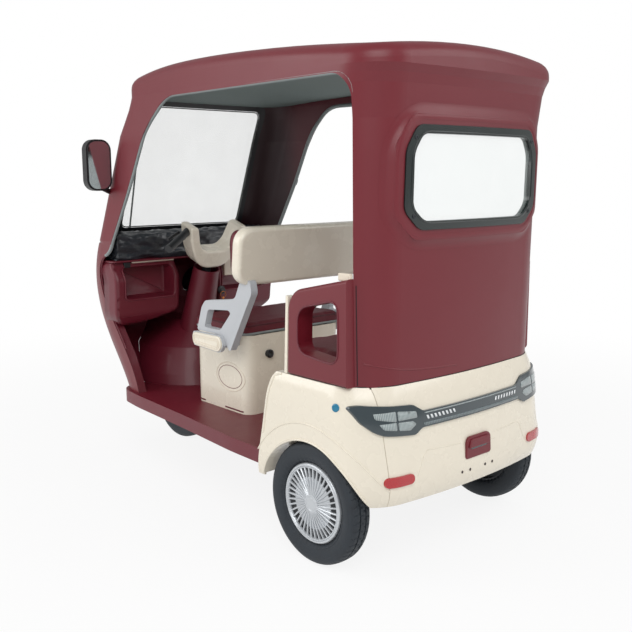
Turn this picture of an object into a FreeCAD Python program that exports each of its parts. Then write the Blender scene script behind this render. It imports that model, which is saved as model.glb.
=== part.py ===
import FreeCAD, Part
import math
import os

from FreeCAD import Vector

os.makedirs("parts", exist_ok=True)

# Overall size in mm. The vehicle faces -Y, its left is +X, and the ground is Z = 0.
HALF_LENGTH = 1021.0
HALF_WIDTH = 490.0
ROOF_HEIGHT = 1704.0

# Walls, fits and overruns
WALL = 8.0
LINER = 5.0
SHEET = 3.0
SEAT_GAP = 0.3
RUN_GAP = 6.0
REACH = 3000.0
CUT_LIMIT_SHARE = 0.48

# Wheels
WHEEL_RADIUS = 205.0
TYRE_WIDTH = 84.0
RIM_RADIUS = 137.0
RIM_LIP = 7.0
RIM_DISC = 10.0
RIM_HALF = 25.0
HUB_RADIUS = 34.0
HUB_OUT = 22.0
HUB_IN = 40.0
SPINDLE_RADIUS = 10.0
SPINDLE_FIT = 0.3
AXLE_Y = 716.0
TRACK_HALF = 438.0
TREAD_SHARES = [(0.30, 0.0), (0.50, 0.42), (0.45, 0.84), (0.24, 0.985), (0.0, 1.0)]

# Fan cover of the rear wheels
COVER_RADIUS = 133.0
COVER_SHEET = 2.5
COVER_DOME = 12.0
COVER_LIP = 6.0
COVER_CAP_RADIUS = 27.0
FAN_BLADES = 36
BLADE_WIDTH = 5.0
BLADE_HEIGHT = 6.0
BLADE_LEAN = 10.0

# Rear axle, motor and springs
DRUM_RADIUS = 85.0
DRUM_WIDTH = 30.0
DRUM_GAP = 5.0
AXLE_TUBE_RADIUS = 26.0
DIFF_RADIUS = 85.0
DIFF_WIDTH = 130.0
MOTOR_RADIUS = 70.0
MOTOR_LENGTH = 190.0
SPRING_HALF = 186.0
SPRING_WIDTH = 45.0
SPRING_LEAF = 8.0

# Steering, with rises measured along the stem from the front axle
STEER_Y = -755.0
STEER_RAKE = 19.0
FORK_HALF = 74.0
FORK_LEG_RADIUS = 15.0
CROWN_RISE = 258.0
CROWN_THICK = 30.0
STEM_RADIUS = 20.0
STEM_TOP_RISE = 745.0
HEAD_WALL = 8.0
HEAD_LOW = 300.0
HEAD_TOP = 420.0
NECK_FOOT_Y = -488.0
NECK_RADIUS = 17.0
MUDGUARD_CLEAR = 20.0
MUDGUARD_FRONT = 5.0
MUDGUARD_REAR = 55.0
GRIP_ROOT_X = 128.0
GRIP_X = 292.0
GRIP_ROOT_RISE = 868.0
GRIP_RISE = 828.0
GRIP_BACK = 104.0
GRIP_RADIUS = 17.0
LEVER_RADIUS = 6.0
LEVER_AHEAD = 40.0
LEVER_X = 262.0
LEVER_REACH_SHARE = 0.8
LEVER_ROOT_SHARE = 0.3
BOWL_HALF = 46.0
BOWL_ROUND = 11.0
BOWL_SWEEP = 128.0
BOWL_LOW_RISE = 690.0

# Column cover: a low hump over the wheel that runs up into a round neck
NECK_LOW_RISE = 330.0
NECK_TOP_RISE = 678.0
NECK_LOW_RADIUS = 80.0
NECK_TOP_RADIUS = 60.0
HUMP_CUT = 120.0
HUMP_FRONT = -1060.0

# Floor and frame
FLOOR_TOP = 322.0
SILL_BOTTOM = 268.0
FLOOR_CUT = 40.0
WHEEL_HOLE = 242.0
RAIL_HALF = 200.0
RAIL_WIDTH = 40.0
RAIL_FRONT = -500.0
RAIL_KICK = 502.0
RAIL_REAR = 940.0
RAIL_HIGH = 330.0
CROSS_WIDTH = 30.0

# Body shell
NOSE_RINGS = 5
COWL_TOP = 972.0
PILLAR_Y = 877.0
LEG_LINER = 32.0
DASH_TOP = 893.0
DASH_REAR = -480.0
SHELF_REAR = -600.0
ARCH_DEPTH_Y = -560.0
ARCH_CUT = 60.0
MIDDLE_CUT_SHARE = 0.9
CROWN_HALF = 520.0
CROWN_FRONT = -640.0
CROWN_REAR = 1060.0
CROWN_CAMBER = 45.0
CROWN_FALL = 60.0
ROOF_ROUND = 46.0
ROOF_THICK = 34.0
HEADLINER_THICK = 5.0

# Glass and frames
SCREEN_CUT = 30.0
SCREEN_RECESS = 3.0
REAR_FRAME_CUT = 22.0
BEZEL_PROUD = 12.0
FRAME_PROUD = 17.0
GLASS_PROUD = 9.0
GLASS_THICK = 5.0

# Rear tub, its fenders and lamps
TUB_TOP = 616.0
TUB_BOTTOM = 246.0
TUB_HALF = 490.0
TUB_FRONT = 425.0
TUB_CORNER = 150.0
TUB_BOW = 58.0
TUB_HOLE = 408.0
TUB_HOLE_REAR = 917.0
TUB_SEAM = 2.0
SHOULDER_CUT = 30.0
FENDER_ARCH_RADIUS = 236.0
FENDER_ARCH_Z = 178.0
FENDER_ARCH_SHEET = 4.0
WHEEL_SPACE = 398.0
LAMP_PROUD = 7.0
LAMP_CUT = 9.0
REFLECTOR_X = 354.0
REFLECTOR_Z = 328.0
REFLECTOR_HALF = 54.0
REFLECTOR_TALL = 16.0
REFLECTOR_PROUD = 5.0
PLATE_LAMP_DEPTH = 26.0
PLATE_LAMP_CUT = 6.0

# Front lamps
HEADLAMP_X = 205.0
HEADLAMP_Z = 740.0
HEADLAMP_RADIUS = 68.0
HEADLAMP_FRONT = -985.0
HEADLAMP_REAR = -880.0
HEADLAMP_RIM = 10.0
HEADLAMP_RECESS = 9.0

# Dash
BIN_IN = 100.0
BIN_OUT = 400.0
BIN_CUT = 20.0
BULGE_OUT = 428.0
BULGE_CUT = 25.0
BULGE_DEPTH = 120.0
PAD_HALF = 400.0
PAD_CUT = 12.0

# Seats
BOX_HALF = 250.0
BOX_FRONT = -268.0
BOX_REAR = 92.0
BOX_TOP = 640.0
BOX_CORNER = 45.0
CUSHION_HALF = 278.0
CUSHION_FRONT = -285.0
CUSHION_REAR = 105.0
CUSHION_HEIGHT = 50.0
CUSHION_ROUND = 14.0
HINGE_RADIUS = 5.0
HINGE_HALF = 60.0
HINGE_AHEAD = 10.0
LOCK_X = 146.0
LOCK_Z = 561.0
LOCK_RADIUS = 15.0
LOCK_DEPTH = 14.0
BATTERY_X = 190.0
BATTERY_Y = 150.0
BATTERY_HEIGHT = 210.0
BRACKET_X = 330.0
BRACKET_THICK = 30.0
BRACKET_CUT = 12.0
CAP_THICK = 16.0
ARM_FRONT = -58.0
ARM_REAR = 45.0
ARM_LOW = 600.0
ARM_HIGH = 638.0
BACKREST_HALF = 388.0
BACKREST_TALL = 214.0
BACKREST_THICK = 54.0
BACKREST_CORNER = 62.0
BACKREST_ROUND = 16.0
BACKREST_Y = 172.0
BACKREST_Z = 864.0
BACKREST_LEAN = 6.5
BACKREST_PAD = 36.0
BENCH_FRONT = 402.0
BENCH_REAR = 900.0
BENCH_TOP = 585.0
BENCH_HALF = 412.0
BENCH_CUSHION = 95.0
BENCH_CUSHION_HALF = 404.0
BENCH_BACK = 90.0
BENCH_BACK_TOP = 1010.0
BENCH_NOSE = 16.0
BENCH_CORNER = 24.0

# Armrest walls
PANEL_THICK = 62.0
PANEL_HALF = 472.0
PANEL_CUT = 60.0
PANEL_ROUND = 12.0

# Mirrors
MIRROR_X = 510.0
MIRROR_Y = -546.0
MIRROR_Z = 1303.0
MIRROR_HALF = 56.0
MIRROR_TALL = 104.0
MIRROR_DEPTH = 36.0
MIRROR_RIM = 8.0
MIRROR_CORNER = 44.0
MIRROR_ARM = 11.0
MIRROR_ARM_DROP = 84.0
ARM_ROOT_X = 440.0
ARM_ROOT_Y = -600.0
ARM_ROOT_Z = 1195.0

# Wiper: its run is a direction up the screen
WIPER_X = 255.0
WIPER_Y = -756.5
WIPER_Z = 1018.0
WIPER_SIDE = 30.0
WIPER_LEAN = 175.0
WIPER_RISE = 420.0
WIPER_ROD = 350.0
WIPER_BLADE = 165.0
WIPER_ARM = 8.0
WIPER_BLADE_RADIUS = 3.0
WIPER_OFF = 18.0
WIPER_STALK = 22.0

# Body plan sections: height, front and rear half widths, front and rear points on the centre line,
# how far each corner lies back from them, and the corner cuts.
SECTION_SHARES = [
    (0.1761, 0.7592, 0.9429, -0.7591, 0.9579, 0.0588, 0.047, 0.3367, 0.3061),
    (0.2817, 0.7714, 0.9449, -0.9295, 0.9598, 0.1068, 0.047, 0.3878, 0.3061),
    (0.3873, 0.8286, 0.949, -1.0343, 0.9628, 0.1528, 0.047, 0.3878, 0.3061),
    (0.4812, 0.8776, 0.9531, -0.9745, 0.9667, 0.1195, 0.047, 0.3163, 0.3061),
    (0.5781, 0.9286, 0.9531, -0.76, 0.9696, 0.0235, 0.047, 0.2143, 0.3061),
    (0.8333, 0.8898, 0.9531, -0.5818, 0.9794, 0.0196, 0.047, 0.2245, 0.3061),
    (0.892, 0.8571, 0.9571, -0.5367, 0.9892, 0.0196, 0.0451, 0.2408, 0.2959),
    (0.9085, 0.849, 0.9592, -0.526, 0.9951, 0.0186, 0.0421, 0.2408, 0.2898),
    (0.9225, 0.8429, 0.9633, -0.5191, 1.0049, 0.0186, 0.0392, 0.2408, 0.2857),
]
CROWN_ALONG_SHARES = [
    (-1.0, 1.5), (-0.6, 0.42), (-0.25, 0.06), (0, 0), (0.35, 0.14), (0.7, 0.52), (1.0, 0.95),
]
CROWN_ACROSS_SHARES = [-1.0, -0.5, 0, 0.5, 1.0]

# Rear tub sections: height, half width and rear point on the centre line
TUB_SHARES = [
    (0.1444, 0.9878, 1.0049),
    (0.1702, 1.0041, 1.0163),
    (0.2347, 1, 1.0098),
    (0.2934, 0.9959, 0.9971),
    (0.3404, 0.9837, 0.9814),
    (0.3615, 0.9592, 0.9696),
]
# Column hump sections: height, half width at the front, where that ends, half width and place of the tail
HUMP_SHARES = [
    (0.1891, 0.5347, -0.6366, 0.2449, -0.431),
    (0.2148, 0.502, -0.6366, 0.2245, -0.4525),
    (0.2817, 0.3776, -0.6562, 0.1633, -0.5093),
    (0.3462, 0.1224, -0.6758, 0.0735, -0.5877),
]

# Side view outlines
DOOR_SHARES = [
    (-0.4946, 0.1643), (-0.5534, 0.2506), (-0.6268, 0.3292), (-0.713, 0.4249), (-0.7199, 0.493),
    (-0.6758, 0.5311), (-0.5877, 0.5516), (-0.4114, 0.716), (-0.2938, 0.8457), (-0.1567, 0.9131),
    (0.859, 0.9102), (0.859, 0.1643),
]
DOOR_CUT_SHARES = [0.0, 0.03, 0.03, 0.035, 0.024, 0.019, 0.03, 0.06, 0.06, 0.04, 0.045, 0.0]
PANEL_SHARES = [
    (0.5837, 0.3617), (0.5926, 0.5223), (0.859, 0.5575), (0.859, 0.3617),
]
PANEL_WINDOW_SHARES = [
    (0.6415, 0.4108), (0.6435, 0.4918), (0.8208, 0.5176), (0.8208, 0.4014),
]
BRACKET_SHARES = [
    (-0.1058, 0.3844), (-0.0715, 0.4413), (-0.046, 0.4572), (0.1097, 0.4683), (0.144, 0.473),
    (0.1812, 0.5164), (0.2351, 0.5164), (0.2449, 0.49), (0.1058, 0.3492), (0.0588, 0.3844),
]
BRACKET_HOLE_SHARES = [
    (-0.0568, 0.3944), (-0.0294, 0.4372), (0.1028, 0.4437), (0.1156, 0.4372), (0.047, 0.3944),
]
CAP_SHARES = [
    (-0.1136, 0.3826), (-0.1097, 0.3498), (0.0646, 0.3451), (0.0881, 0.3638), (0.0705, 0.3844),
]
BULGE_SIDE_SHARES = [
    (-0.5877, 0.3521), (-0.5544, 0.3873), (-0.5446, 0.4707), (-0.5877, 0.5241), (-0.9794, 0.5241),
    (-0.9794, 0.3286),
]
SLOT_SHARES = [
    (-0.5681, 0.4108), (-0.5661, 0.4695), (-0.5289, 0.4742), (-0.5779, 0.5188), (-0.6347, 0.5188),
    (-0.6268, 0.4049),
]
PAD_SHARES = [
    (-0.619, 0.5242), (-0.6112, 0.5869), (-0.6464, 0.5986), (-0.6905, 0.5915), (-0.7297, 0.5242),
]
SHOULDER_SHARES = [
    (0.2938, 0.4108), (0.5779, 0.4108), (0.5632, 0.3756), (0.5191, 0.3568), (0.4976, 0.3169),
    (0.4819, 0.2682), (0.4407, 0.1174), (0.2938, 0.1174),
]
LINER_ARC_SHARES = [
    (-0.5485, 0.9202), (0.1469, 0.9378), (0.9794, 0.9225),
]

# Plan and front view outlines
FLOOR_SHARES = [
    (0.6735, -0.6758), (0.7857, -0.6268), (0.8245, -0.4897), (0.8776, -0.0881), (0.9388, 0.2507),
    (0.949, 0.4603),
]
WHEELARCH_SHARES = [
    (-0.3796, 0.0587), (0.3796, 0.0587), (0.3796, 0.2887), (-0.3796, 0.2887),
]
SCREEN_SHARES = [
    (-0.7102, 0.5892), (0.7102, 0.5892), (0.6816, 0.9237), (-0.6816, 0.9237),
]
GLASS_SHARES = [
    (-0.6592, 0.6045), (0.6592, 0.6045), (0.6347, 0.9108), (-0.6347, 0.9108),
]
SEAM_SHARES = [
    (0, 0.9454), (0.3714, 0.9401), (0.6408, 0.9255), (0.8367, 0.9038), (1.0204, 0.8627),
]
TUB_SEAM_SHARES = [
    (-0.7837, 0.1174), (0.7837, 0.1174), (0.8286, 0.3873), (-0.8286, 0.3873),
]
BEZEL_SHARES = [
    (-0.5796, 0.6232), (0.5796, 0.6232), (0.7388, 0.6655), (0.7347, 0.7887), (0.6163, 0.8415),
    (-0.6163, 0.8415), (-0.7347, 0.7887), (-0.7388, 0.6655),
]
REAR_FRAME_SHARES = [
    (-0.5469, 0.6408), (0.5469, 0.6408), (0.6735, 0.6749), (0.6694, 0.7805), (0.5796, 0.8239),
    (-0.5796, 0.8239), (-0.6694, 0.7805), (-0.6735, 0.6749),
]
REAR_GLASS_SHARES = [
    (-0.5061, 0.6561), (0.5061, 0.6561), (0.6041, 0.6808), (0.6041, 0.7758), (0.5347, 0.8087),
    (-0.5347, 0.8087), (-0.6041, 0.7758), (-0.6041, 0.6808),
]
BULGE_FRONT_SHARES = [
    (0.0612, 0.4343), (0.1531, 0.3944), (0.3061, 0.365), (0.6122, 0.3545), (0.8265, 0.3685),
    (0.898, 0.4108), (0.898, 0.5282), (0.0612, 0.5282),
]
LAMP_SHARES = [
    (0, 0.2817), (0, 0.311), (0.5, 0.311), (0.5816, 0.3257), (0.9184, 0.3333), (0.9633, 0.3286),
    (0.9224, 0.3005), (0.8673, 0.2846), (0.8163, 0.2782), (0.5816, 0.2711), (0.5204, 0.2817),
]
PLATE_LAMP_SHARES = [
    (-0.102, 0.2277), (0.102, 0.2277), (0.0816, 0.2465), (-0.0816, 0.2465),
]
BOWL_SHARES = [
    (0.3102, 0.5235), (0.2653, 0.4695), (0.151, 0.4073), (-0.151, 0.4073), (-0.2653, 0.4695),
    (-0.3102, 0.5235), (-0.2245, 0.5235), (-0.1714, 0.473), (-0.1102, 0.4554), (0.1102, 0.4554),
    (0.1714, 0.473), (0.2245, 0.5235),
]
BOWL_CUT_SHARES = [0.014, 0.08, 0.08, 0.08, 0.08, 0.014, 0.014, 0.03, 0.03, 0.03, 0.03, 0.014]


def yz(shares, x):
    return [Vector(x, y * HALF_LENGTH, z * ROOF_HEIGHT) for y, z in shares]


def xz(shares, y):
    return [Vector(x * HALF_WIDTH, y, z * ROOF_HEIGHT) for x, z in shares]


def outline(points, cuts):
    """Closed wire through the points, each corner rounded by a tangent arc that reaches its cut."""
    count = len(points)
    if not isinstance(cuts, list):
        cuts = [cuts] * count
    arcs = []
    ends = []
    for i, point in enumerate(points):
        if cuts[i] <= 0:
            arcs.append(None)
            ends.append((point, point))
            continue
        back = (points[i - 1] - point).normalize()
        ahead = (points[(i + 1) % count] - point).normalize()
        half = math.acos(max(-1, min(1, back.dot(ahead)))) / 2
        start = point + back * cuts[i]
        end = point + ahead * cuts[i]
        toward = (back + ahead).normalize()
        middle = point + toward * (cuts[i] * (1 - math.sin(half)) / math.cos(half))
        arcs.append(Part.Arc(start, middle, end).toShape())
        ends.append((start, end))
    edges = []
    for i in range(count):
        if arcs[i]:
            edges.append(arcs[i])
        start = ends[i][1]
        end = ends[(i + 1) % count][0]
        if start.distanceToPoint(end) > SEAT_GAP / count:
            edges.append(Part.makeLine(start, end))
    return Part.Wire(edges)


def rounded_wire(points, cuts):
    """An outline whose corner cuts are held within half of the sides beside them."""
    count = len(points)
    if not isinstance(cuts, list):
        cuts = [cuts] * count
    held = []
    for i, point in enumerate(points):
        side = min(point.distanceToPoint(points[i - 1]), point.distanceToPoint(points[(i + 1) % count]))
        held.append(min(cuts[i], side * CUT_LIMIT_SHARE))
    return outline(points, held)


def prism(points, cuts, way):
    return Part.Face(rounded_wire(points, cuts)).extrude(way)


def rectangle(half, tall):
    """Corners of an upright rectangle about the origin, facing along the vehicle."""
    return [Vector(a * half, 0, b * tall) for a, b in ((-1, -1), (1, -1), (1, 1), (-1, 1))]


def side_prism(shares, cuts, x_from, x_to):
    """Side view outline run across the vehicle."""
    return prism(yz(shares, x_from), cuts, Vector(x_to - x_from, 0, 0))


def front_prism(shares, cuts, y_from, y_to):
    """Front view outline run along the vehicle."""
    return prism(xz(shares, y_from), cuts, Vector(0, y_to - y_from, 0))


def box(x_from, x_to, y_from, y_to, z_from, z_to):
    size = (x_to - x_from, y_to - y_from, z_to - z_from)
    return Part.makeBox(*size, Vector(x_from, y_from, z_from))


def round_box(x_from, x_to, y_from, y_to, z_from, z_to, corner):
    points = [Vector(x_from, y_from, z_from), Vector(x_to, y_from, z_from)]
    points += [Vector(x_to, y_to, z_from), Vector(x_from, y_to, z_from)]
    return prism(points, corner, Vector(0, 0, z_to - z_from))


def rod(start, end, radius):
    way = end - start
    return Part.makeCylinder(radius, way.Length, start, way)


def cross_rod(half, y, z, radius):
    """A round bar across the vehicle, as long on one side as on the other."""
    return rod(Vector(-half, y, z), Vector(half, y, z), radius)


def mirrored(shape):
    return shape.mirror(Vector(0, 0, 0), Vector(1, 0, 0))


def both(shape):
    return shape.fuse(mirrored(shape))


def save(name, shape):
    shape = shape.removeSplitter()
    shape.exportStep("parts/" + name + ".step")
    print(name, len(shape.Solids), shape.isValid(), round(shape.Volume / 1000))


def save_pair(name, left):
    """A left piece and its mirror image."""
    save(name + "_left", left)
    save(name + "_right", mirrored(left))


def plan_ring(z, half_front, half_rear, y_front, y_rear, bow_front, bow_rear, cut_front, cut_rear):
    """Level outline of the body, bowed at both ends and round at the four corners."""
    points = [Vector(0, y_front, z), Vector(half_front, y_front + bow_front, z)]
    points += [Vector(half_rear, y_rear - bow_rear, z), Vector(0, y_rear, z)]
    points += [Vector(-half_rear, y_rear - bow_rear, z), Vector(-half_front, y_front + bow_front, z)]
    middle_front = (half_front - cut_front) * MIDDLE_CUT_SHARE
    middle_rear = (half_rear - cut_rear) * MIDDLE_CUT_SHARE
    cuts = [middle_front, cut_front, cut_rear, middle_rear, cut_rear, cut_front]
    return outline(points, cuts)


def body_rings(grow):
    """The body's level outlines, grown outward or shrunk inward by a distance."""
    rings = []
    for z, front, rear, y_front, y_rear, bow_front, bow_rear, cut_front, cut_rear in SECTION_SHARES:
        rings.append(plan_ring(
            z * ROOF_HEIGHT,
            front * HALF_WIDTH + grow,
            rear * HALF_WIDTH + grow,
            y_front * HALF_LENGTH - grow,
            y_rear * HALF_LENGTH + grow,
            bow_front * HALF_LENGTH,
            bow_rear * HALF_LENGTH,
            cut_front * HALF_WIDTH + grow,
            cut_rear * HALF_WIDTH + grow,
        ))
    return rings


def crown_solid(rise):
    """All that lies over the roof's doubly curved top, raised or lowered by a distance."""
    rows = []
    for along, drop in CROWN_ALONG_SHARES:
        y = -along * CROWN_FRONT if along < 0 else along * CROWN_REAR
        row = []
        for across in CROWN_ACROSS_SHARES:
            height = ROOF_HEIGHT + rise - CROWN_FALL * drop - CROWN_CAMBER * across ** 2
            row.append(Vector(across * CROWN_HALF, y, height))
        rows.append(row)
    surface = Part.BSplineSurface()
    surface.interpolate(rows)
    return surface.toShape().extrude(Vector(0, 0, REACH))


def cabin_form(grow, rise):
    """Straight-sided form of the cabin under the roof's crown."""
    rings = body_rings(grow)
    sides = Part.makeLoft([rings[0]] + rings[NOSE_RINGS - 1:], True, True)
    top = Part.Face(rings[-1]).extrude(Vector(0, 0, CROWN_FALL + CROWN_CAMBER + ROOF_ROUND))
    return sides.fuse(top).cut(crown_solid(rise))


def rounded_cabin():
    """The cabin's outside with its roof edge rounded."""
    whole = cabin_form(0, 0)
    brim = SECTION_SHARES[-1][0] * ROOF_HEIGHT + SHEET
    edges = [edge for edge in whole.Edges if edge.BoundBox.ZMin > brim]
    return whole.makeFillet(ROOF_ROUND, edges)


def nose_form(grow, straight):
    """The bulging lower front, below the windscreen."""
    return Part.makeLoft(body_rings(grow)[:NOSE_RINGS], True, straight)


def cabin_band(outer_grow, inner_grow, zone):
    """The part of the cabin's wall between two offsets that lies in a zone."""
    return cabin_form(outer_grow, outer_grow).common(zone).cut(cabin_form(inner_grow, inner_grow))


def door_prism():
    cuts = [share * ROOF_HEIGHT for share in DOOR_CUT_SHARES]
    return side_prism(DOOR_SHARES, cuts, -REACH, REACH)


def wheel_arch():
    return front_prism(WHEELARCH_SHARES, ARCH_CUT, -REACH, ARCH_DEPTH_Y)


def seam_below():
    """Everything behind the rear pillars' front edge and below the roof's rear seam."""
    left = xz(SEAM_SHARES, 0)
    points = [Vector(-p.x, p.y, p.z) for p in reversed(left[1:])] + left
    floor = [Vector(points[-1].x, 0, TUB_TOP), Vector(points[0].x, 0, TUB_TOP)]
    face = Part.Face(outline(points + floor, 0))
    face.translate(Vector(0, PILLAR_Y, 0))
    return face.extrude(Vector(0, HALF_LENGTH, 0))


def headlamp_rod(radius, y_front, y_rear):
    return rod(Vector(HEADLAMP_X, y_front, HEADLAMP_Z), Vector(HEADLAMP_X, y_rear, HEADLAMP_Z), radius)


def make_roof_and_wall():
    """Roof with its pillars, and the rear wall with a raised surround for its window."""
    shell = rounded_cabin().cut(cabin_form(-WALL, -ROOF_THICK)).cut(door_prism())
    zone = seam_below()
    screen_hole = front_prism(SCREEN_SHARES, SCREEN_CUT, -REACH, 0)
    roof = shell.cut(zone).cut(box(-REACH, REACH, -REACH, REACH, -REACH, COWL_TOP)).cut(screen_hole)
    save("roof_shell", roof)
    bezel = front_prism(BEZEL_SHARES, REAR_FRAME_CUT, 0, REACH)
    wall = shell.common(zone).fuse(cabin_band(BEZEL_PROUD, -WALL / 2, bezel))
    save("rear_wall", wall.cut(front_prism(REAR_FRAME_SHARES, REAR_FRAME_CUT, 0, REACH)))


def make_nose():
    """Front cowl with the wheel's arch and the two lamp pods."""
    zone = box(-REACH, REACH, -REACH, 0, FLOOR_TOP + SEAT_GAP, COWL_TOP)
    inner = nose_form(-WALL, True)
    cowl = nose_form(0, False).common(zone).cut(inner).cut(door_prism()).cut(wheel_arch())
    pod = headlamp_rod(HEADLAMP_RADIUS + HEADLAMP_RIM, HEADLAMP_FRONT, HEADLAMP_REAR).cut(inner)
    hole = headlamp_rod(HEADLAMP_RADIUS + SEAT_GAP, -REACH, HEADLAMP_REAR)
    save("nose_cowl", cowl.fuse(both(pod)).cut(both(hole)))
    lamp = headlamp_rod(HEADLAMP_RADIUS, HEADLAMP_FRONT + HEADLAMP_RECESS, HEADLAMP_REAR)
    save_pair("headlamp", lamp)


def make_screens():
    """Front and rear glass in their dark surrounds."""
    screen = front_prism(SCREEN_SHARES, SCREEN_CUT, -REACH, 0)
    opening = front_prism(GLASS_SHARES, SCREEN_CUT, -REACH, 0)
    frame = cabin_band(0, -WALL, screen.cut(opening))
    save("windscreen_frame", frame.cut(wiper_spindle(WIPER_ARM + SEAT_GAP)))
    save("windscreen", cabin_band(-SCREEN_RECESS, -WALL, opening))
    rear_glass = front_prism(REAR_GLASS_SHARES, REAR_FRAME_CUT, 0, REACH)
    rear_frame = front_prism(REAR_FRAME_SHARES, REAR_FRAME_CUT, 0, REACH)
    save("rear_window_frame", cabin_band(FRAME_PROUD, -WALL / 2, rear_frame.cut(rear_glass)))
    save("rear_window", cabin_band(GLASS_PROUD, GLASS_PROUD - GLASS_THICK, rear_glass))


def make_headliner():
    """A gently arched lining under the roof."""
    low = yz(LINER_ARC_SHARES, -REACH)
    high = [p + Vector(0, 0, HEADLINER_THICK) for p in low]
    edges = [Part.Arc(*low).toShape(), Part.makeLine(low[2], high[2])]
    edges += [Part.Arc(*high).toShape(), Part.makeLine(high[0], low[0])]
    sheet = Part.Face(Part.Wire(edges)).extrude(Vector(2 * REACH, 0, 0))
    save("headliner", sheet.common(cabin_form(-WALL - SEAT_GAP, -ROOF_THICK - SEAT_GAP)))


def make_side_panels():
    """Thick armrest walls beside the bench, each with its window and rounded edges."""
    x_in = PANEL_HALF - PANEL_THICK
    panel = side_prism(PANEL_SHARES, [PANEL_CUT / 4, PANEL_CUT, 0, 0], x_in, PANEL_HALF)
    edges = []
    for edge in panel.Edges:
        bounds = edge.BoundBox
        if bounds.XLength < SHEET and bounds.YMin < PILLAR_Y - SHEET and bounds.ZMax > TUB_TOP + SHEET:
            edges.append(edge)
    panel = panel.makeFillet(PANEL_ROUND, edges)
    window = side_prism(PANEL_WINDOW_SHARES, PANEL_CUT / 2, x_in - WALL, PANEL_HALF + WALL)
    save_pair("side_panel", panel.cut(window))


def tub_ring(z, half, y_rear, y_front, grow):
    """Level outline of the tub, grown or shrunk but for its front."""
    width = half + grow
    return plan_ring(z, width, width, y_front, y_rear + grow, SHEET, TUB_BOW, SHEET, TUB_CORNER + grow)


def tub_form(grow, straight=False):
    """The rear tub's outside form, grown or shrunk."""
    rings = []
    for z, half, rear in TUB_SHARES:
        rings.append(tub_ring(z * ROOF_HEIGHT, half * TUB_HALF, rear * HALF_LENGTH, TUB_FRONT, grow))
    return Part.makeLoft(rings, True, straight)


def tub_hollow():
    """The space inside the tub, open below and ahead."""
    rings = []
    for z, half, rear in TUB_SHARES:
        height = z * ROOF_HEIGHT - WALL
        rings.append(tub_ring(height, half * TUB_HALF, rear * HALF_LENGTH, TUB_FRONT - WALL, -WALL))
    return Part.makeLoft(rings, True, True)


def make_tub():
    """Lower rear body: two fenders with wheel arches, and the bumper panel between them."""
    tub = tub_form(0).cut(tub_hollow())
    hole = box(-TUB_HOLE, TUB_HOLE, TUB_FRONT - WALL, TUB_HOLE_REAR, TUB_TOP - WALL - SHEET, REACH)
    tub = tub.cut(hole)
    arch = cross_rod(REACH, AXLE_Y, FENDER_ARCH_Z, FENDER_ARCH_RADIUS)
    lining = rod(Vector(WHEEL_SPACE, AXLE_Y, FENDER_ARCH_Z), Vector(TUB_HALF, AXLE_Y, FENDER_ARCH_Z),
                 FENDER_ARCH_RADIUS + FENDER_ARCH_SHEET)
    below = box(-REACH, REACH, -REACH, REACH, -REACH, TUB_BOTTOM + WALL)
    lining = both(lining).cut(arch).common(tub_form(-WALL / 2, True)).cut(below)
    tub = tub.cut(arch).fuse(lining).cut(side_prism(SHOULDER_SHARES, SHOULDER_CUT, -REACH, REACH))
    seam = front_prism(TUB_SEAM_SHARES, 0, AXLE_Y, REACH)
    save("rear_tub", tub.common(seam))
    wider = seam.fuse(box(-TUB_HOLE, TUB_HOLE, -REACH, AXLE_Y, -REACH, REACH))
    for way in (-TUB_SEAM, TUB_SEAM):
        moved = seam.copy()
        moved.translate(Vector(way, 0, 0))
        wider = wider.fuse(moved)
    left = tub.cut(wider).common(box(0, REACH, -REACH, REACH, -REACH, REACH))
    save_pair("fender", left)


def make_lamps():
    """Smoked rear lamp bar, two reflectors and the number-plate lamp, set on the tub's rear."""
    rear = box(-REACH, REACH, AXLE_Y, REACH, 0, REACH)
    tub = tub_form(0)
    lamp = both(front_prism(LAMP_SHARES, [0, 0] + [LAMP_CUT] * (len(LAMP_SHARES) - 2), 0, REACH))
    save("tail_lamp", tub_form(LAMP_PROUD).common(rear).cut(tub).common(lamp))
    pill = prism(rectangle(REFLECTOR_HALF, REFLECTOR_TALL), REFLECTOR_TALL, Vector(0, REACH, 0))
    pill.translate(Vector(REFLECTOR_X, 0, REFLECTOR_Z))
    save_pair("reflector", tub_form(REFLECTOR_PROUD).common(rear).cut(tub).common(pill))
    plate = front_prism(PLATE_LAMP_SHARES, PLATE_LAMP_CUT, 0, HALF_LENGTH - SHEET)
    behind = tub_form(PLATE_LAMP_DEPTH).common(rear)
    save("plate_lamp", plate.common(behind).cut(tub))


def steered(shape):
    """From fork coordinates, with the axle at the origin and the stem along Z, to the vehicle's."""
    shape = shape.copy()
    shape.rotate(Vector(0, 0, 0), Vector(1, 0, 0), -STEER_RAKE)
    shape.translate(Vector(0, STEER_Y, WHEEL_RADIUS))
    return shape


def stem_rod(low, high, radius):
    return steered(rod(Vector(0, 0, low), Vector(0, 0, high), radius))


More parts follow.
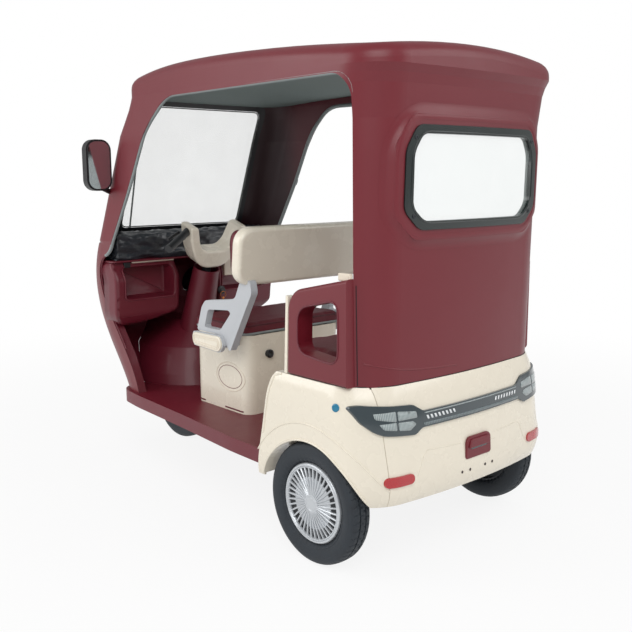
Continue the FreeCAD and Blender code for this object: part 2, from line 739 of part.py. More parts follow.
def make_floor():
    """Footwell pan with sills, open over the steered wheel."""
    right = [Vector(x * HALF_WIDTH, y * HALF_LENGTH, SILL_BOTTOM) for x, y in FLOOR_SHARES]
    wire = rounded_wire(right + [Vector(-p.x, p.y, p.z) for p in reversed(right)], FLOOR_CUT)
    outer = Part.Face(wire).extrude(Vector(0, 0, FLOOR_TOP - SILL_BOTTOM))
    inner = Part.Face(wire.makeOffset2D(-WALL)).extrude(Vector(0, 0, FLOOR_TOP - SILL_BOTTOM - WALL))
    pan = outer.cut(inner)
    pan = pan.cut(both(rail_box(0, REACH, 0, FLOOR_TOP - WALL, SHEET)))
    pan = pan.cut(rod(Vector(0, STEER_Y, 0), Vector(0, STEER_Y, REACH), WHEEL_HOLE))
    pan = pan.cut(box(-WHEEL_HOLE, WHEEL_HOLE, -REACH, STEER_Y, 0, REACH))
    save("floor_pan", pan.cut(down_tube(NECK_RADIUS + SEAT_GAP)))


def down_tube(radius):
    """The frame's tube from the first cross-member up to the steering head."""
    middle = (HEAD_LOW + HEAD_TOP) / 2
    lean = math.radians(STEER_RAKE)
    top = Vector(0, STEER_Y + middle * math.sin(lean), WHEEL_RADIUS + middle * math.cos(lean))
    return rod(Vector(0, NECK_FOOT_Y, SILL_BOTTOM + NECK_RADIUS), top, radius)


def rail_box(y_from, y_to, z_from, z_to, grow):
    """A length of the left rail, or the space that it needs."""
    half = RAIL_WIDTH / 2 + grow
    return box(RAIL_HALF - half, RAIL_HALF + half, y_from, y_to, z_from, z_to)


def make_chassis():
    """Ladder frame under the floor, kicked up over the axle, with the steering head on its tube."""
    top = FLOOR_TOP - WALL - SEAT_GAP
    upper = RAIL_HIGH + RAIL_WIDTH
    rail = rail_box(RAIL_FRONT, RAIL_KICK, SILL_BOTTOM, top, 0)
    rail = rail.fuse(rail_box(RAIL_KICK, RAIL_REAR, RAIL_HIGH, upper, 0))
    rail = rail.fuse(rail_box(RAIL_KICK - RAIL_WIDTH / 2, RAIL_KICK + RAIL_WIDTH / 2, SILL_BOTTOM, upper, 0))
    frame = both(rail)
    for y in (RAIL_FRONT, 0, RAIL_KICK - CROSS_WIDTH / 2):
        frame = frame.fuse(box(-RAIL_HALF, RAIL_HALF, y, y + CROSS_WIDTH, SILL_BOTTOM, top))
    frame = frame.fuse(box(-RAIL_HALF, RAIL_HALF, RAIL_REAR - CROSS_WIDTH, RAIL_REAR, RAIL_HIGH, upper))
    head = stem_rod(HEAD_LOW, HEAD_TOP, STEM_RADIUS + HEAD_WALL).fuse(down_tube(NECK_RADIUS))
    save("chassis_frame", frame.fuse(head).cut(stem_rod(0, REACH, STEM_RADIUS + SEAT_GAP)))


def hump_form(shrink):
    """The low hump over the steered wheel, narrowing up into the column."""
    rings = []
    for z, side, waist_y, tail, tail_y in HUMP_SHARES:
        half = side * HALF_WIDTH - shrink
        height = z * ROOF_HEIGHT - shrink
        right = [Vector(half, HUMP_FRONT, height), Vector(half, waist_y * HALF_LENGTH, height)]
        right.append(Vector(tail * HALF_WIDTH - shrink, tail_y * HALF_LENGTH - shrink, height))
        left = [Vector(-p.x, p.y, p.z) for p in reversed(right)]
        rings.append(rounded_wire(right + left, [0, HUMP_CUT, HUMP_CUT, HUMP_CUT, HUMP_CUT, 0]))
    return Part.makeLoft(rings, True, True)


def neck_cone(grow, low, high):
    cone = Part.makeCone(NECK_LOW_RADIUS + grow, NECK_TOP_RADIUS + grow, high - low, Vector(0, 0, low))
    return steered(cone)


def make_column():
    """Hump over the wheel and the round neck that rises from it to the handlebar."""
    inside = nose_form(-WALL - LEG_LINER - SEAT_GAP, True)
    neck = neck_cone(0, NECK_LOW_RISE, NECK_TOP_RISE)
    cover = hump_form(0).fuse(neck)
    hollow = hump_form(LINER).fuse(neck_cone(-LINER, NECK_LOW_RISE - LINER, NECK_TOP_RISE + LINER))
    cover = cover.cut(hollow).common(inside)
    save("column_cover", cover.cut(down_tube(NECK_RADIUS + SEAT_GAP)))


def make_dash():
    """Inner front wall that follows the nose, with a bulging bin on each side of the column."""
    zone = box(-REACH, REACH, -REACH, DASH_REAR, FLOOR_TOP + SEAT_GAP, DASH_TOP)
    room = nose_form(-WALL - SEAT_GAP, True).common(zone)
    wall = room.cut(nose_form(-WALL - LEG_LINER, True)).cut(wheel_arch())
    side = side_prism(BULGE_SIDE_SHARES, BULGE_CUT, 0, BULGE_OUT)
    front = front_prism(BULGE_FRONT_SHARES, PANEL_CUT, -REACH, 0)
    hollow = side.common(front)
    hollow.translate(Vector(0, -BULGE_DEPTH, 0))
    bulge = side.common(front).cut(hollow).cut(side_prism(SLOT_SHARES, BIN_CUT, BIN_IN, BIN_OUT)).common(room)
    shelf = box(-BULGE_OUT, BULGE_OUT, -REACH, SHELF_REAR, DASH_TOP - WALL, DASH_TOP).common(room)
    dash = wall.fuse(both(bulge)).fuse(shelf).cut(door_prism())
    around = neck_cone(SEAT_GAP, NECK_LOW_RISE, NECK_TOP_RISE).fuse(hump_form(-SEAT_GAP))
    sweep = stem_rod(BOWL_LOW_RISE - RUN_GAP, REACH, BOWL_SWEEP)
    lamp_back = headlamp_rod(HEADLAMP_RADIUS + HEADLAMP_RIM + SHEET, -REACH, HEADLAMP_REAR)
    save("dash_panel", dash.cut(around).cut(sweep).cut(both(lamp_back)))


def rounded_pad(block, z_from, corner):
    """A block with its edges above a height rounded."""
    return block.makeFillet(corner, [edge for edge in block.Edges if edge.BoundBox.ZMin > z_from])


def backrest_form(half, thick, ahead, grow):
    """Upright pad in its own plane, leaned back about its lower front edge."""
    corners = [(-1, 0), (1, 0), (1, 1), (-1, 1)]
    points = [Vector(a * (half + grow), -ahead - grow, b * (BACKREST_TALL + 2 * grow) - grow) for a, b in corners]
    block = prism(points, BACKREST_CORNER, Vector(0, thick + 2 * grow, 0))
    long_edges = [edge for edge in block.Edges if edge.BoundBox.YLength < SEAT_GAP]
    block = block.makeFillet(BACKREST_ROUND, long_edges)
    block.rotate(Vector(0, 0, 0), Vector(1, 0, 0), -BACKREST_LEAN)
    block.translate(Vector(0, BACKREST_Y, BACKREST_Z))
    return block


def make_driver_seat():
    """Seat box with its battery, hinged cushion, lock, brackets and backrest."""
    outer = round_box(-BOX_HALF, BOX_HALF, BOX_FRONT, BOX_REAR, FLOOR_TOP + SEAT_GAP, BOX_TOP, BOX_CORNER)
    inner = round_box(-BOX_HALF + WALL, BOX_HALF - WALL, BOX_FRONT + WALL, BOX_REAR - WALL, FLOOR_TOP - WALL,
                      BOX_TOP + WALL, BOX_CORNER - WALL)
    save("seat_box", outer.cut(inner))
    y = (BOX_FRONT + BOX_REAR) / 2
    save("battery_pack", box(-BATTERY_X, BATTERY_X, y - BATTERY_Y, y + BATTERY_Y, FLOOR_TOP + SEAT_GAP,
                             FLOOR_TOP + BATTERY_HEIGHT))
    base = BOX_TOP + SEAT_GAP
    top = base + CUSHION_HEIGHT
    cushion = round_box(-CUSHION_HALF, CUSHION_HALF, CUSHION_FRONT, CUSHION_REAR, base, top, BOX_CORNER)
    cushion = rounded_pad(cushion, base + CUSHION_ROUND, CUSHION_ROUND)
    save("seat_cushion", cushion.fuse(cross_rod(HINGE_HALF, BOX_FRONT - HINGE_AHEAD, base, HINGE_RADIUS)))
    lock = Vector(LOCK_X, BOX_REAR, LOCK_Z)
    save("seat_lock", rod(lock, lock + Vector(0, LOCK_DEPTH, 0), LOCK_RADIUS))
    x_out = BRACKET_X + BRACKET_THICK / 2
    plate = side_prism(BRACKET_SHARES, BRACKET_CUT, BRACKET_X - BRACKET_THICK / 2, x_out)
    plate = plate.cut(side_prism(BRACKET_HOLE_SHARES, BRACKET_CUT, 0, REACH))
    cap = side_prism(CAP_SHARES, BRACKET_CUT, x_out, x_out + CAP_THICK)
    arm = box(BOX_HALF, x_out, ARM_FRONT, ARM_REAR, ARM_LOW, ARM_HIGH)
    save_pair("seat_bracket", plate.fuse(cap).fuse(arm).cut(backrest_form(BACKREST_HALF, BACKREST_THICK, 0, SEAT_GAP)))
    save("backrest_shell", backrest_form(BACKREST_HALF, BACKREST_THICK, 0, 0))
    pad = backrest_form(BACKREST_HALF, BACKREST_PAD + BACKREST_ROUND, BACKREST_PAD, 0)
    pad = pad.cut(backrest_form(BACKREST_HALF, BACKREST_THICK, 0, SEAT_GAP))
    save("backrest_pad", pad.cut(side_prism(BRACKET_SHARES, BRACKET_CUT, -REACH, REACH)))


def make_bench():
    """Passenger bench: its box, cushion and backrest."""
    front = box(-BENCH_HALF, BENCH_HALF, BENCH_FRONT, BENCH_FRONT + WALL, FLOOR_TOP + SEAT_GAP, BENCH_TOP)
    board = box(-BENCH_HALF, BENCH_HALF, BENCH_FRONT, BENCH_REAR, BENCH_TOP, BENCH_TOP + WALL)
    save("bench_base", front.fuse(board))
    half = BENCH_CUSHION_HALF
    seat = BENCH_TOP + WALL + SEAT_GAP
    top = seat + BENCH_CUSHION
    cushion = round_box(-half, half, BENCH_FRONT - BENCH_NOSE, BENCH_REAR - BENCH_BACK, seat, top, BENCH_CORNER)
    save("bench_cushion", rounded_pad(cushion, seat + CUSHION_ROUND, CUSHION_ROUND))
    back = round_box(-half, half, BENCH_REAR - BENCH_BACK + SHEET, BENCH_REAR, seat, BENCH_BACK_TOP, BENCH_CORNER)
    save("bench_backrest", rounded_pad(back, seat + CUSHION_ROUND, CUSHION_ROUND))


def make_wheel(prefix, x, y, side):
    """Tyre and rim with its hub, the hub's long end turned inward."""
    depth = WHEEL_RADIUS - RIM_RADIUS
    right = [Vector(a * TYRE_WIDTH, 0, RIM_RADIUS + b * depth) for a, b in TREAD_SHARES]
    section = Part.Face(outline(right + [Vector(-p.x, 0, p.z) for p in reversed(right[:-1])], 0))
    tyre = section.revolve(Vector(0, 0, 0), Vector(1, 0, 0), 360)
    barrel = cross_rod(RIM_HALF, 0, 0, RIM_RADIUS).cut(cross_rod(RIM_HALF, 0, 0, RIM_RADIUS - RIM_LIP))
    disc = cross_rod(RIM_DISC / 2, 0, 0, RIM_RADIUS - RIM_LIP / 2)
    hub = rod(Vector(-side * HUB_IN, 0, 0), Vector(side * HUB_OUT, 0, 0), HUB_RADIUS)
    rim = barrel.fuse(disc).fuse(hub).cut(cross_rod(REACH, 0, 0, SPINDLE_RADIUS + SPINDLE_FIT))
    for name, shape in (("tyre", tyre), ("rim", rim)):
        shape.translate(Vector(x, y, WHEEL_RADIUS))
        save(prefix + "_" + name, shape)


def make_covers():
    """Domed covers of the rear wheels: a ring, a flat cap and a fan of slanted blades between them."""
    start = RIM_HALF + SEAT_GAP
    disc = rod(Vector(start, 0, 0), Vector(start + COVER_SHEET, 0, 0), COVER_RADIUS)
    lip = rod(Vector(start, 0, 0), Vector(start + COVER_LIP, 0, 0), COVER_RADIUS)
    lip = lip.cut(rod(Vector(start, 0, 0), Vector(start + COVER_LIP, 0, 0), COVER_RADIUS - COVER_LIP))
    cap = rod(Vector(start, 0, 0), Vector(start + COVER_DOME, 0, 0), COVER_CAP_RADIUS)
    cover = disc.fuse([lip, cap])
    inner = COVER_CAP_RADIUS - SHEET
    blades = []
    for i in range(FAN_BLADES):
        blade = box(start, start + BLADE_HEIGHT, -BLADE_WIDTH / 2, BLADE_WIDTH / 2, inner, COVER_RADIUS - SHEET)
        blade.rotate(Vector(0, 0, 0), Vector(0, 0, 1), BLADE_LEAN)
        blade.rotate(Vector(0, 0, 0), Vector(1, 0, 0), i * 360 / FAN_BLADES)
        blades.append(blade)
    cover = cover.fuse(blades).cut(box(-REACH, start, -REACH, REACH, -REACH, REACH))
    cover.translate(Vector(TRACK_HALF, AXLE_Y, WHEEL_RADIUS))
    save("rear_left_cover", cover)
    save("rear_right_cover", mirrored(cover))


def make_rear_axle():
    """Axle with its drums, the drive motor ahead of it and a leaf spring to each rail."""
    inner = TRACK_HALF - HUB_IN - DRUM_GAP
    axle = cross_rod(inner, AXLE_Y, WHEEL_RADIUS, AXLE_TUBE_RADIUS)
    axle = axle.fuse(cross_rod(TRACK_HALF + HUB_OUT, AXLE_Y, WHEEL_RADIUS, SPINDLE_RADIUS))
    axle = axle.fuse(cross_rod(DIFF_WIDTH / 2, AXLE_Y, WHEEL_RADIUS, DIFF_RADIUS))
    axle = axle.fuse(both(rod(Vector(inner - DRUM_WIDTH, AXLE_Y, WHEEL_RADIUS), Vector(inner, AXLE_Y, WHEEL_RADIUS),
                              DRUM_RADIUS)))
    save("rear_axle", axle)
    save("drive_motor", cross_rod(MOTOR_LENGTH / 2, AXLE_Y - DIFF_RADIUS, WHEEL_RADIUS, MOTOR_RADIUS).cut(axle))
    x = RAIL_HALF - SPRING_WIDTH / 2
    low = WHEEL_RADIUS + AXLE_TUBE_RADIUS + SEAT_GAP
    ends = RAIL_HIGH - SEAT_GAP - SPRING_LEAF
    points = [Vector(x, AXLE_Y - SPRING_HALF, ends), Vector(x, AXLE_Y, low), Vector(x, AXLE_Y + SPRING_HALF, ends)]
    over = [p + Vector(0, 0, SPRING_LEAF) for p in points]
    edges = [Part.Arc(*points).toShape(), Part.makeLine(points[2], over[2])]
    edges += [Part.Arc(*over).toShape(), Part.makeLine(over[0], points[0])]
    save_pair("spring", Part.Face(Part.Wire(edges)).extrude(Vector(SPRING_WIDTH, 0, 0)))


def make_fork():
    """Fork with its stem and axle, and the mudguard that rides over the wheel."""
    foot = Vector(FORK_HALF, 0, -FORK_LEG_RADIUS)
    leg = rod(foot, Vector(FORK_HALF, 0, CROWN_RISE + CROWN_THICK / 2), FORK_LEG_RADIUS)
    half = FORK_HALF + FORK_LEG_RADIUS
    high = CROWN_RISE + CROWN_THICK
    crown = round_box(-half, half, -CROWN_THICK, CROWN_THICK, CROWN_RISE, high, FORK_LEG_RADIUS)
    stem = rod(Vector(0, 0, CROWN_RISE), Vector(0, 0, STEM_TOP_RISE), STEM_RADIUS)
    axle = cross_rod(FORK_HALF, 0, 0, SPINDLE_RADIUS)
    save("fork", steered(both(leg).fuse([crown, stem, axle])))
    radius = WHEEL_RADIUS + MUDGUARD_CLEAR
    half = FORK_HALF - FORK_LEG_RADIUS - SEAT_GAP
    guard = cross_rod(half, 0, 0, radius + SHEET).cut(cross_rod(REACH, 0, 0, radius))
    front = math.radians(180 - MUDGUARD_FRONT)
    rear = math.radians(MUDGUARD_REAR)
    centre = Vector(-REACH, 0, 0)
    reaches = [Vector(0, REACH * math.cos(turn), REACH * math.sin(turn)) for turn in (rear, math.pi / 2, front)]
    wedge = Part.Face(Part.makePolygon([centre] + [centre + reach for reach in reaches] + [centre]))
    guard = guard.common(wedge.extrude(Vector(2 * REACH, 0, 0)))
    guard.translate(Vector(0, STEER_Y, WHEEL_RADIUS))
    save("front_mudguard", guard)


def make_handlebar():
    """Bowl-shaped cover with two raised horns, and a grip with its lever on each side."""
    points = [Vector(x * HALF_WIDTH, -BOWL_HALF, z * ROOF_HEIGHT) for x, z in BOWL_SHARES]
    cuts = [share * HALF_LENGTH for share in BOWL_CUT_SHARES]
    bowl = prism(points, cuts, Vector(0, 2 * BOWL_HALF, 0))
    rims = [edge for edge in bowl.Edges if edge.BoundBox.YLength < SEAT_GAP]
    bowl = bowl.makeFillet(BOWL_ROUND, rims)
    stem = rod(Vector(0, 0, 0), Vector(0, 0, STEM_TOP_RISE + SEAT_GAP), STEM_RADIUS + SEAT_GAP)
    start = Vector(GRIP_ROOT_X, 0, GRIP_ROOT_RISE)
    end = Vector(GRIP_X, GRIP_BACK, GRIP_RISE)
    grip = rod(start, end, GRIP_RADIUS)
    way = Vector(0, -LEVER_AHEAD, 0)
    root = start * (1 - LEVER_ROOT_SHARE) + end * LEVER_ROOT_SHARE
    tip = Vector(LEVER_X, GRIP_BACK * LEVER_REACH_SHARE, GRIP_RISE + GRIP_RADIUS) + way
    lever = rod(root, root + way, LEVER_RADIUS).fuse(rod(root + way, tip, LEVER_RADIUS))
    lever = lever.fuse(Part.makeSphere(LEVER_RADIUS, root + way))
    save("handlebar_cover", steered(bowl.cut(stem)))
    save_pair("grip", steered(grip.fuse(lever).cut(bowl)))


def wiper_frame():
    """The wiper's foot on the screen, the way up its arm and the way out of the glass."""
    across = math.hypot(WIPER_LEAN, WIPER_RISE)
    out = Vector(0, -WIPER_RISE / across, WIPER_LEAN / across)
    return Vector(WIPER_X, WIPER_Y, WIPER_Z), Vector(WIPER_SIDE, WIPER_LEAN, WIPER_RISE).normalize(), out


def wiper_spindle(radius):
    foot, run, out = wiper_frame()
    return rod(foot - out * WIPER_STALK, foot + out * WIPER_OFF, radius)


def make_wiper():
    """One blade on an arm that turns on a spindle in the screen's lower corner."""
    foot, run, out = wiper_frame()
    lift = foot + out * WIPER_OFF
    arm = rod(lift - out * WIPER_ARM / 2, lift + run * WIPER_ROD, WIPER_ARM / 2)
    blade = rod(lift + run * (WIPER_ROD - WIPER_BLADE), lift + run * (WIPER_ROD + WIPER_BLADE), WIPER_BLADE_RADIUS)
    save("wiper", wiper_spindle(WIPER_ARM).fuse([arm, blade]))


def make_dash_pad():
    """Soft-topped shelf between the dash and the windscreen."""
    pad = side_prism(PAD_SHARES, PAD_CUT, -PAD_HALF, PAD_HALF).common(cabin_form(-WALL - LINER, 0))
    save("dash_pad", pad.common(nose_form(-WALL - LINER, True).fuse(box(-REACH, REACH, -REACH, 0, COWL_TOP, REACH))))


def make_mirrors():
    """Door mirrors on short arms from the front pillars."""
    inner = rectangle(MIRROR_HALF - MIRROR_RIM, MIRROR_TALL - MIRROR_RIM)
    housing = prism(rectangle(MIRROR_HALF, MIRROR_TALL), MIRROR_CORNER, Vector(0, -MIRROR_DEPTH, 0))
    glass = prism(inner, MIRROR_CORNER - MIRROR_RIM, Vector(0, SHEET, 0))
    place = Vector(MIRROR_X, MIRROR_Y, MIRROR_Z)
    housing.translate(place)
    glass.translate(place)
    foot = place + Vector(0, -MIRROR_DEPTH / 2, -MIRROR_ARM_DROP)
    arm = rod(Vector(ARM_ROOT_X, ARM_ROOT_Y, ARM_ROOT_Z), foot, MIRROR_ARM).cut(cabin_form(0, 0))
    save_pair("mirror", housing.fuse(arm))
    save_pair("mirror_glass", glass)


def main():
    make_roof_and_wall()
    make_nose()
    make_screens()
    make_headliner()
    make_side_panels()
    make_tub()
    make_lamps()
    make_floor()
    make_chassis()
    make_column()
    make_dash()
    make_dash_pad()
    make_driver_seat()
    make_bench()
    make_wheel("front", 0, STEER_Y, 1)
    make_wheel("rear_left", TRACK_HALF, AXLE_Y, 1)
    make_wheel("rear_right", -TRACK_HALF, AXLE_Y, -1)
    make_covers()
    make_rear_axle()
    make_fork()
    make_handlebar()
    make_mirrors()
    make_wiper()


main()
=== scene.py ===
import math

import bmesh
import bpy
from mathutils import Matrix, Vector, noise
from mathutils.bvhtree import BVHTree
from mathutils.geometry import delaunay_2d_cdt


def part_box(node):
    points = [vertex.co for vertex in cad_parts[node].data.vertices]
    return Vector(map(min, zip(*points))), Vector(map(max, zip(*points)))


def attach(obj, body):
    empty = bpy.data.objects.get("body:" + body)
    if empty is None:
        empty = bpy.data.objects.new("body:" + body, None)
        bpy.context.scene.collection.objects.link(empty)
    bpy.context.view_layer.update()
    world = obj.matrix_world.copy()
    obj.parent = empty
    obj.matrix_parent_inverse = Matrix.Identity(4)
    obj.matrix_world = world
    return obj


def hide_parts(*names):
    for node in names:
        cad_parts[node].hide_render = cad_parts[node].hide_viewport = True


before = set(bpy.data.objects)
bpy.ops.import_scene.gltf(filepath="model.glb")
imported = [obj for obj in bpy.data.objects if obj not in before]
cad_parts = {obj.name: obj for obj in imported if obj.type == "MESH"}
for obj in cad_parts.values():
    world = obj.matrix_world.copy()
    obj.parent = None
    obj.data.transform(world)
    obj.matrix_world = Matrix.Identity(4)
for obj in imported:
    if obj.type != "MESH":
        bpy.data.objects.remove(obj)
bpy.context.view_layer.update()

# Camera, from the photograph's own perspective: place in metres, angles in degrees
CAMERA_PLACE = (2.196, 2.6699, 1.2513)
CAMERA_YAW = 41.814
CAMERA_DIP = 9.348
CAMERA_ROLL = -0.257
CAMERA_LENS = 48.09
SENSOR = 36.0

# Studio: lamps as name, place, the point they face, size and power; places in metres
LAMPS = [
    ("key", (3.2, 3.6, 4.2), (0, 0, 0.9), 3.5, 135),
    ("fill", (3.8, -2.2, 2.6), (0, 0, 0.8), 3.0, 80),
    ("rear", (-2.5, 4.0, 3.2), (0, 0, 0.9), 3.0, 60),
]
WORLD_LIGHT = 0.5
FLOOR_REACH = 14.0
FLOOR_GREY = (0.84, 0.84, 0.84)
FLOOR_WHITE_NEAR = 0.87

# Every size from here on is in millimetres, in the frame of the CAD
MM = 0.001
FLOOR_FADE = (1400.0, 4200.0)
FAR = 2500.0
NET_CELL = 12.0
BEAD_PITCH = 8.0

# Angles in degrees from which an edge stays sharp or is eased, and the steps of a corner's curve
SHARP = 38.0
EDGE_LIMIT = 50.0
ROUND_STEPS = 5


class Value:
    """A number that varies over a surface; Python's operators on it become Math nodes."""

    def __init__(self, nodes, socket):
        self.nodes = nodes
        self.socket = socket

    def math(self, operation, *others):
        return self.nodes.math(operation, self, *others)

    def __add__(self, other):
        return self.math("ADD", other)

    __radd__ = __add__

    def __sub__(self, other):
        return self.math("SUBTRACT", other)

    def __mul__(self, other):
        return self.math("MULTIPLY", other)

    __rmul__ = __mul__

    def __pow__(self, other):
        return self.math("POWER", other)


class Nodes:
    """The node tree of a material or of the world."""

    def __init__(self, owner):
        owner.use_nodes = True
        self.tree = owner.node_tree

    def node(self, kind, settings=None, sockets=None):
        """Adds any node: its settings first, then the values or links of its sockets."""
        node = self.tree.nodes.new(kind)
        for name, value in (settings or {}).items():
            setattr(node, name, value)
        for name, value in (sockets or {}).items():
            self.feed(node.inputs[name], value)
        outputs = [*node.outputs.items(), *enumerate(node.outputs)]
        return {key: Value(self, socket) for key, socket in outputs}

    def feed(self, socket, value):
        if isinstance(value, Value):
            self.tree.links.new(value.socket, socket)
        elif isinstance(value, tuple) and len(value) == 3 and socket.type == "RGBA":
            socket.default_value = (*value, 1)
        else:
            socket.default_value = value

    def math(self, operation, *terms):
        return self.node("ShaderNodeMath", {"operation": operation}, dict(enumerate(terms)))["Value"]


class Finish(Nodes):
    """A material under construction, with its one Principled shader."""

    def __init__(self, name):
        self.material = bpy.data.materials.new(name)
        super().__init__(self.material)
        self.shader = self.tree.nodes["Principled BSDF"]
        coordinates = self.node("ShaderNodeTexCoord")
        self.place = coordinates["Object"]
        self.normal = coordinates["Normal"]

    def set(self, **sockets):
        for name, value in sockets.items():
            self.feed(self.shader.inputs[name.replace("_", " ")], value)

    def noise(self, scale, detail=2.0, roughness=0.5, along=None):
        """Cloudy noise, finer or coarser along each axis."""
        place = self.place
        if along:
            place = self.node("ShaderNodeMapping", None, {"Vector": place, "Scale": along})["Vector"]
        sockets = {"Vector": place, "Scale": scale, "Detail": detail, "Roughness": roughness}
        return self.node("ShaderNodeTexNoise", None, sockets)["Fac"]

    def cells(self, scale):
        return self.node("ShaderNodeTexVoronoi", None, {"Vector": self.place, "Scale": scale})["Distance"]

    def part(self, axis):
        """The place along an axis, in millimetres."""
        return self.node("ShaderNodeSeparateXYZ", None, {"Vector": self.place})[axis] * (1 / MM)

    def ramp(self, value, low, high):
        """Runs smoothly from 0 at low to 1 at high."""
        sockets = {"Value": value, "From Min": low, "From Max": high}
        return self.node("ShaderNodeMapRange", {"interpolation_type": "SMOOTHSTEP"}, sockets)["Result"]

    def wave(self, axis, pitch):
        """Rises and falls between -1 and 1 along an axis, once in each pitch."""
        return (self.part(axis) * (2 * math.pi / pitch)).math("SINE")

    def inward(self, middle):
        """1 on the faces that look towards the middle of a shell, 0 on those that look away."""
        away = self.node("ShaderNodeVectorMath", {"operation": "SUBTRACT"}, {0: self.place, 1: middle})[0]
        facing = self.node("ShaderNodeVectorMath", {"operation": "DOT_PRODUCT"}, {0: self.normal, 1: away})
        return self.ramp(facing["Value"], 0.02, -0.02)

    def mix(self, mask, first, second):
        """Runs from the first colour, where the mask is 0, to the second, where it is 1."""
        return self.node("ShaderNodeMix", {"data_type": "RGBA"}, {0: mask, 6: first, 7: second})[2]

    def mottled(self, mask, colour, spread):
        """One colour, a little darker and lighter with the mask."""
        dark = tuple(part * (1 - spread) for part in linear(*colour))
        light = tuple(min(1.0, part * (1 + spread)) for part in linear(*colour))
        return self.mix(mask, dark, light)

    def bump(self, height, distance, strength=1.0):
        sockets = {"Height": height, "Distance": distance * MM, "Strength": strength}
        self.set(Normal=self.node("ShaderNodeBump", None, sockets)["Normal"])


def linear(*colour):
    """A colour read from 0 to 255 as the shader wants it."""
    shares = [part / 255 for part in colour]
    return tuple(share / 12.92 if share <= 0.04045 else ((share + 0.055) / 1.055) ** 2.4 for share in shares)


def moulded(finish, colour, roughness, grain, grain_depth, coat=0.0, metal=0.0, spread=0.07):
    """Moulded or painted plastic: slight mottling, fine grain, and duller patches."""
    finish.set(Base_Color=finish.mottled(finish.noise(3.5, 4.0), colour, spread))
    finish.set(Roughness=roughness + 0.1 * (finish.noise(16.0, 3.0) - 0.5))
    finish.set(Coat_Weight=coat, Coat_Roughness=0.1, Metallic=metal)
    finish.bump(finish.noise(grain), grain_depth)


def shell(finish, outer, inner, middle, roughness, front_shade_span=None):
    """A moulded cabin skin: satin outside; duller on the faces that look inward, which are also darker with
    painted shade, deepening to near black towards the front where a span for that is given.
    """
    inside = finish.inward(middle)
    cloud = finish.noise(2.6, 4.0)
    skin = finish.mottled(cloud, outer, 0.09)
    # Painted shade: the faces that look inward take the darker inner colour.
    painted_shade_inside = finish.mottled(cloud, inner, 0.12)
    if front_shade_span:
        # Painted shade, deeper towards the front: inward faces run to near black by the windscreen.
        front = finish.ramp(finish.part("Y"), *front_shade_span)
        painted_shade_inside = finish.mix(front, linear(40, 10, 18), painted_shade_inside)
    finish.set(Base_Color=finish.mix(inside, skin, painted_shade_inside))
    finish.set(Roughness=roughness + 0.12 * (finish.noise(12.0, 3.0) - 0.5) + 0.14 * inside)
    finish.set(Coat_Weight=0.05, Coat_Roughness=0.3)
    finish.bump(0.7 * finish.noise(650.0) + 0.3 * finish.noise(90.0), 0.12)


def leather(finish, colour, roughness):
    """Coated seat cloth: pebbled grain and soft creases; its colour is lighter on the high spots as painted
    sheen and darker in the low ones as painted shade.
    """
    pebble = finish.cells(420.0)
    crease = finish.noise(9.0, 5.0, 0.6, (1.0, 2.2, 1.4))
    # Painted sheen and shade: the colour follows the raised grain and creases.
    finish.set(Base_Color=finish.mottled(0.6 * pebble + 0.4 * crease, colour, 0.16))
    finish.set(Roughness=roughness + 0.18 * (crease - 0.5) + 0.1 * pebble)
    finish.bump(0.45 * pebble + 1.6 * crease, 1.2, 0.6)


def walked(finish, colour):
    """A floor panel: satin moulding with pale scuffs and dust where feet go."""
    scuff = finish.noise(26.0, 8.0, 0.72, (3.0, 0.5, 1.0))
    worn = finish.ramp(scuff, 0.62, 0.74) * finish.ramp(finish.part("Z"), 290.0, 322.0)
    base = finish.mottled(finish.noise(4.0, 4.0), colour, 0.1)
    finish.set(Base_Color=finish.mix(worn * 0.35, base, linear(196, 170, 166)))
    finish.set(Roughness=0.42 + 0.3 * worn + 0.1 * (finish.noise(14.0) - 0.5))
    finish.bump(0.8 * finish.noise(700.0) + 0.4 * scuff, 0.2)


def tread_rubber(finish):
    """Tyre rubber, a little blue, with dust in the tread."""
    dust = finish.noise(24.0, 6.0, 0.7)
    finish.set(Base_Color=finish.mix(dust, linear(20, 25, 31), linear(44, 52, 60)))
    finish.set(Roughness=0.62 + 0.2 * (dust - 0.5))
    finish.bump(finish.noise(240.0, 3.0) + 0.5 * dust, 0.4)


def film(finish):
    """Black plastic film, still on from the works: glossy and creased, with painted blue-grey glints where
    the creases rise.
    """
    crease = finish.noise(34.0, 7.0, 0.68, (0.6, 1.5, 2.4))
    # Painted glints: the colour turns from black to blue-grey on the raised creases.
    finish.set(Base_Color=finish.mix(crease, linear(9, 10, 14), linear(52, 58, 66)))
    finish.set(Roughness=0.2 + 0.25 * crease, Coat_Weight=0.6, Coat_Roughness=0.06)
    finish.bump(crease, 6.0, 0.8)


def prisms(finish, colour):
    """Reflector plastic: rows of tiny prisms under a clear skin; their colour is lighter and darker in step
    with the prisms, as painted glints and shade.
    """
    across = finish.wave("X", PRISM_PITCH) * finish.wave("Z", PRISM_PITCH)
    # Painted glints and shade: the colour follows the prisms' relief.
    finish.set(Base_Color=finish.mottled(across * 0.5 + 0.5, colour, 0.3))
    finish.set(Roughness=0.16 + 0.1 * finish.noise(30.0), Coat_Weight=0.8, Coat_Roughness=0.03)
    finish.bump(across, 0.6, 0.7)


def ribs(finish, dark, light, pitch):
    """Lamp plastic with fine upright ribs, as behind a lens; its colour is lighter on the crests and darker
    in the troughs, as painted highlight and shade.
    """
    wave = finish.wave("X", pitch)
    # Painted highlight on the crests and painted shade in the troughs.
    finish.set(Base_Color=finish.mix(wave * 0.5 + 0.5, linear(*dark), linear(*light)))
    finish.set(Roughness=0.2 + 0.1 * finish.noise(22.0), Coat_Weight=0.7, Coat_Roughness=0.05)
    finish.bump(wave, 0.8, 0.6)


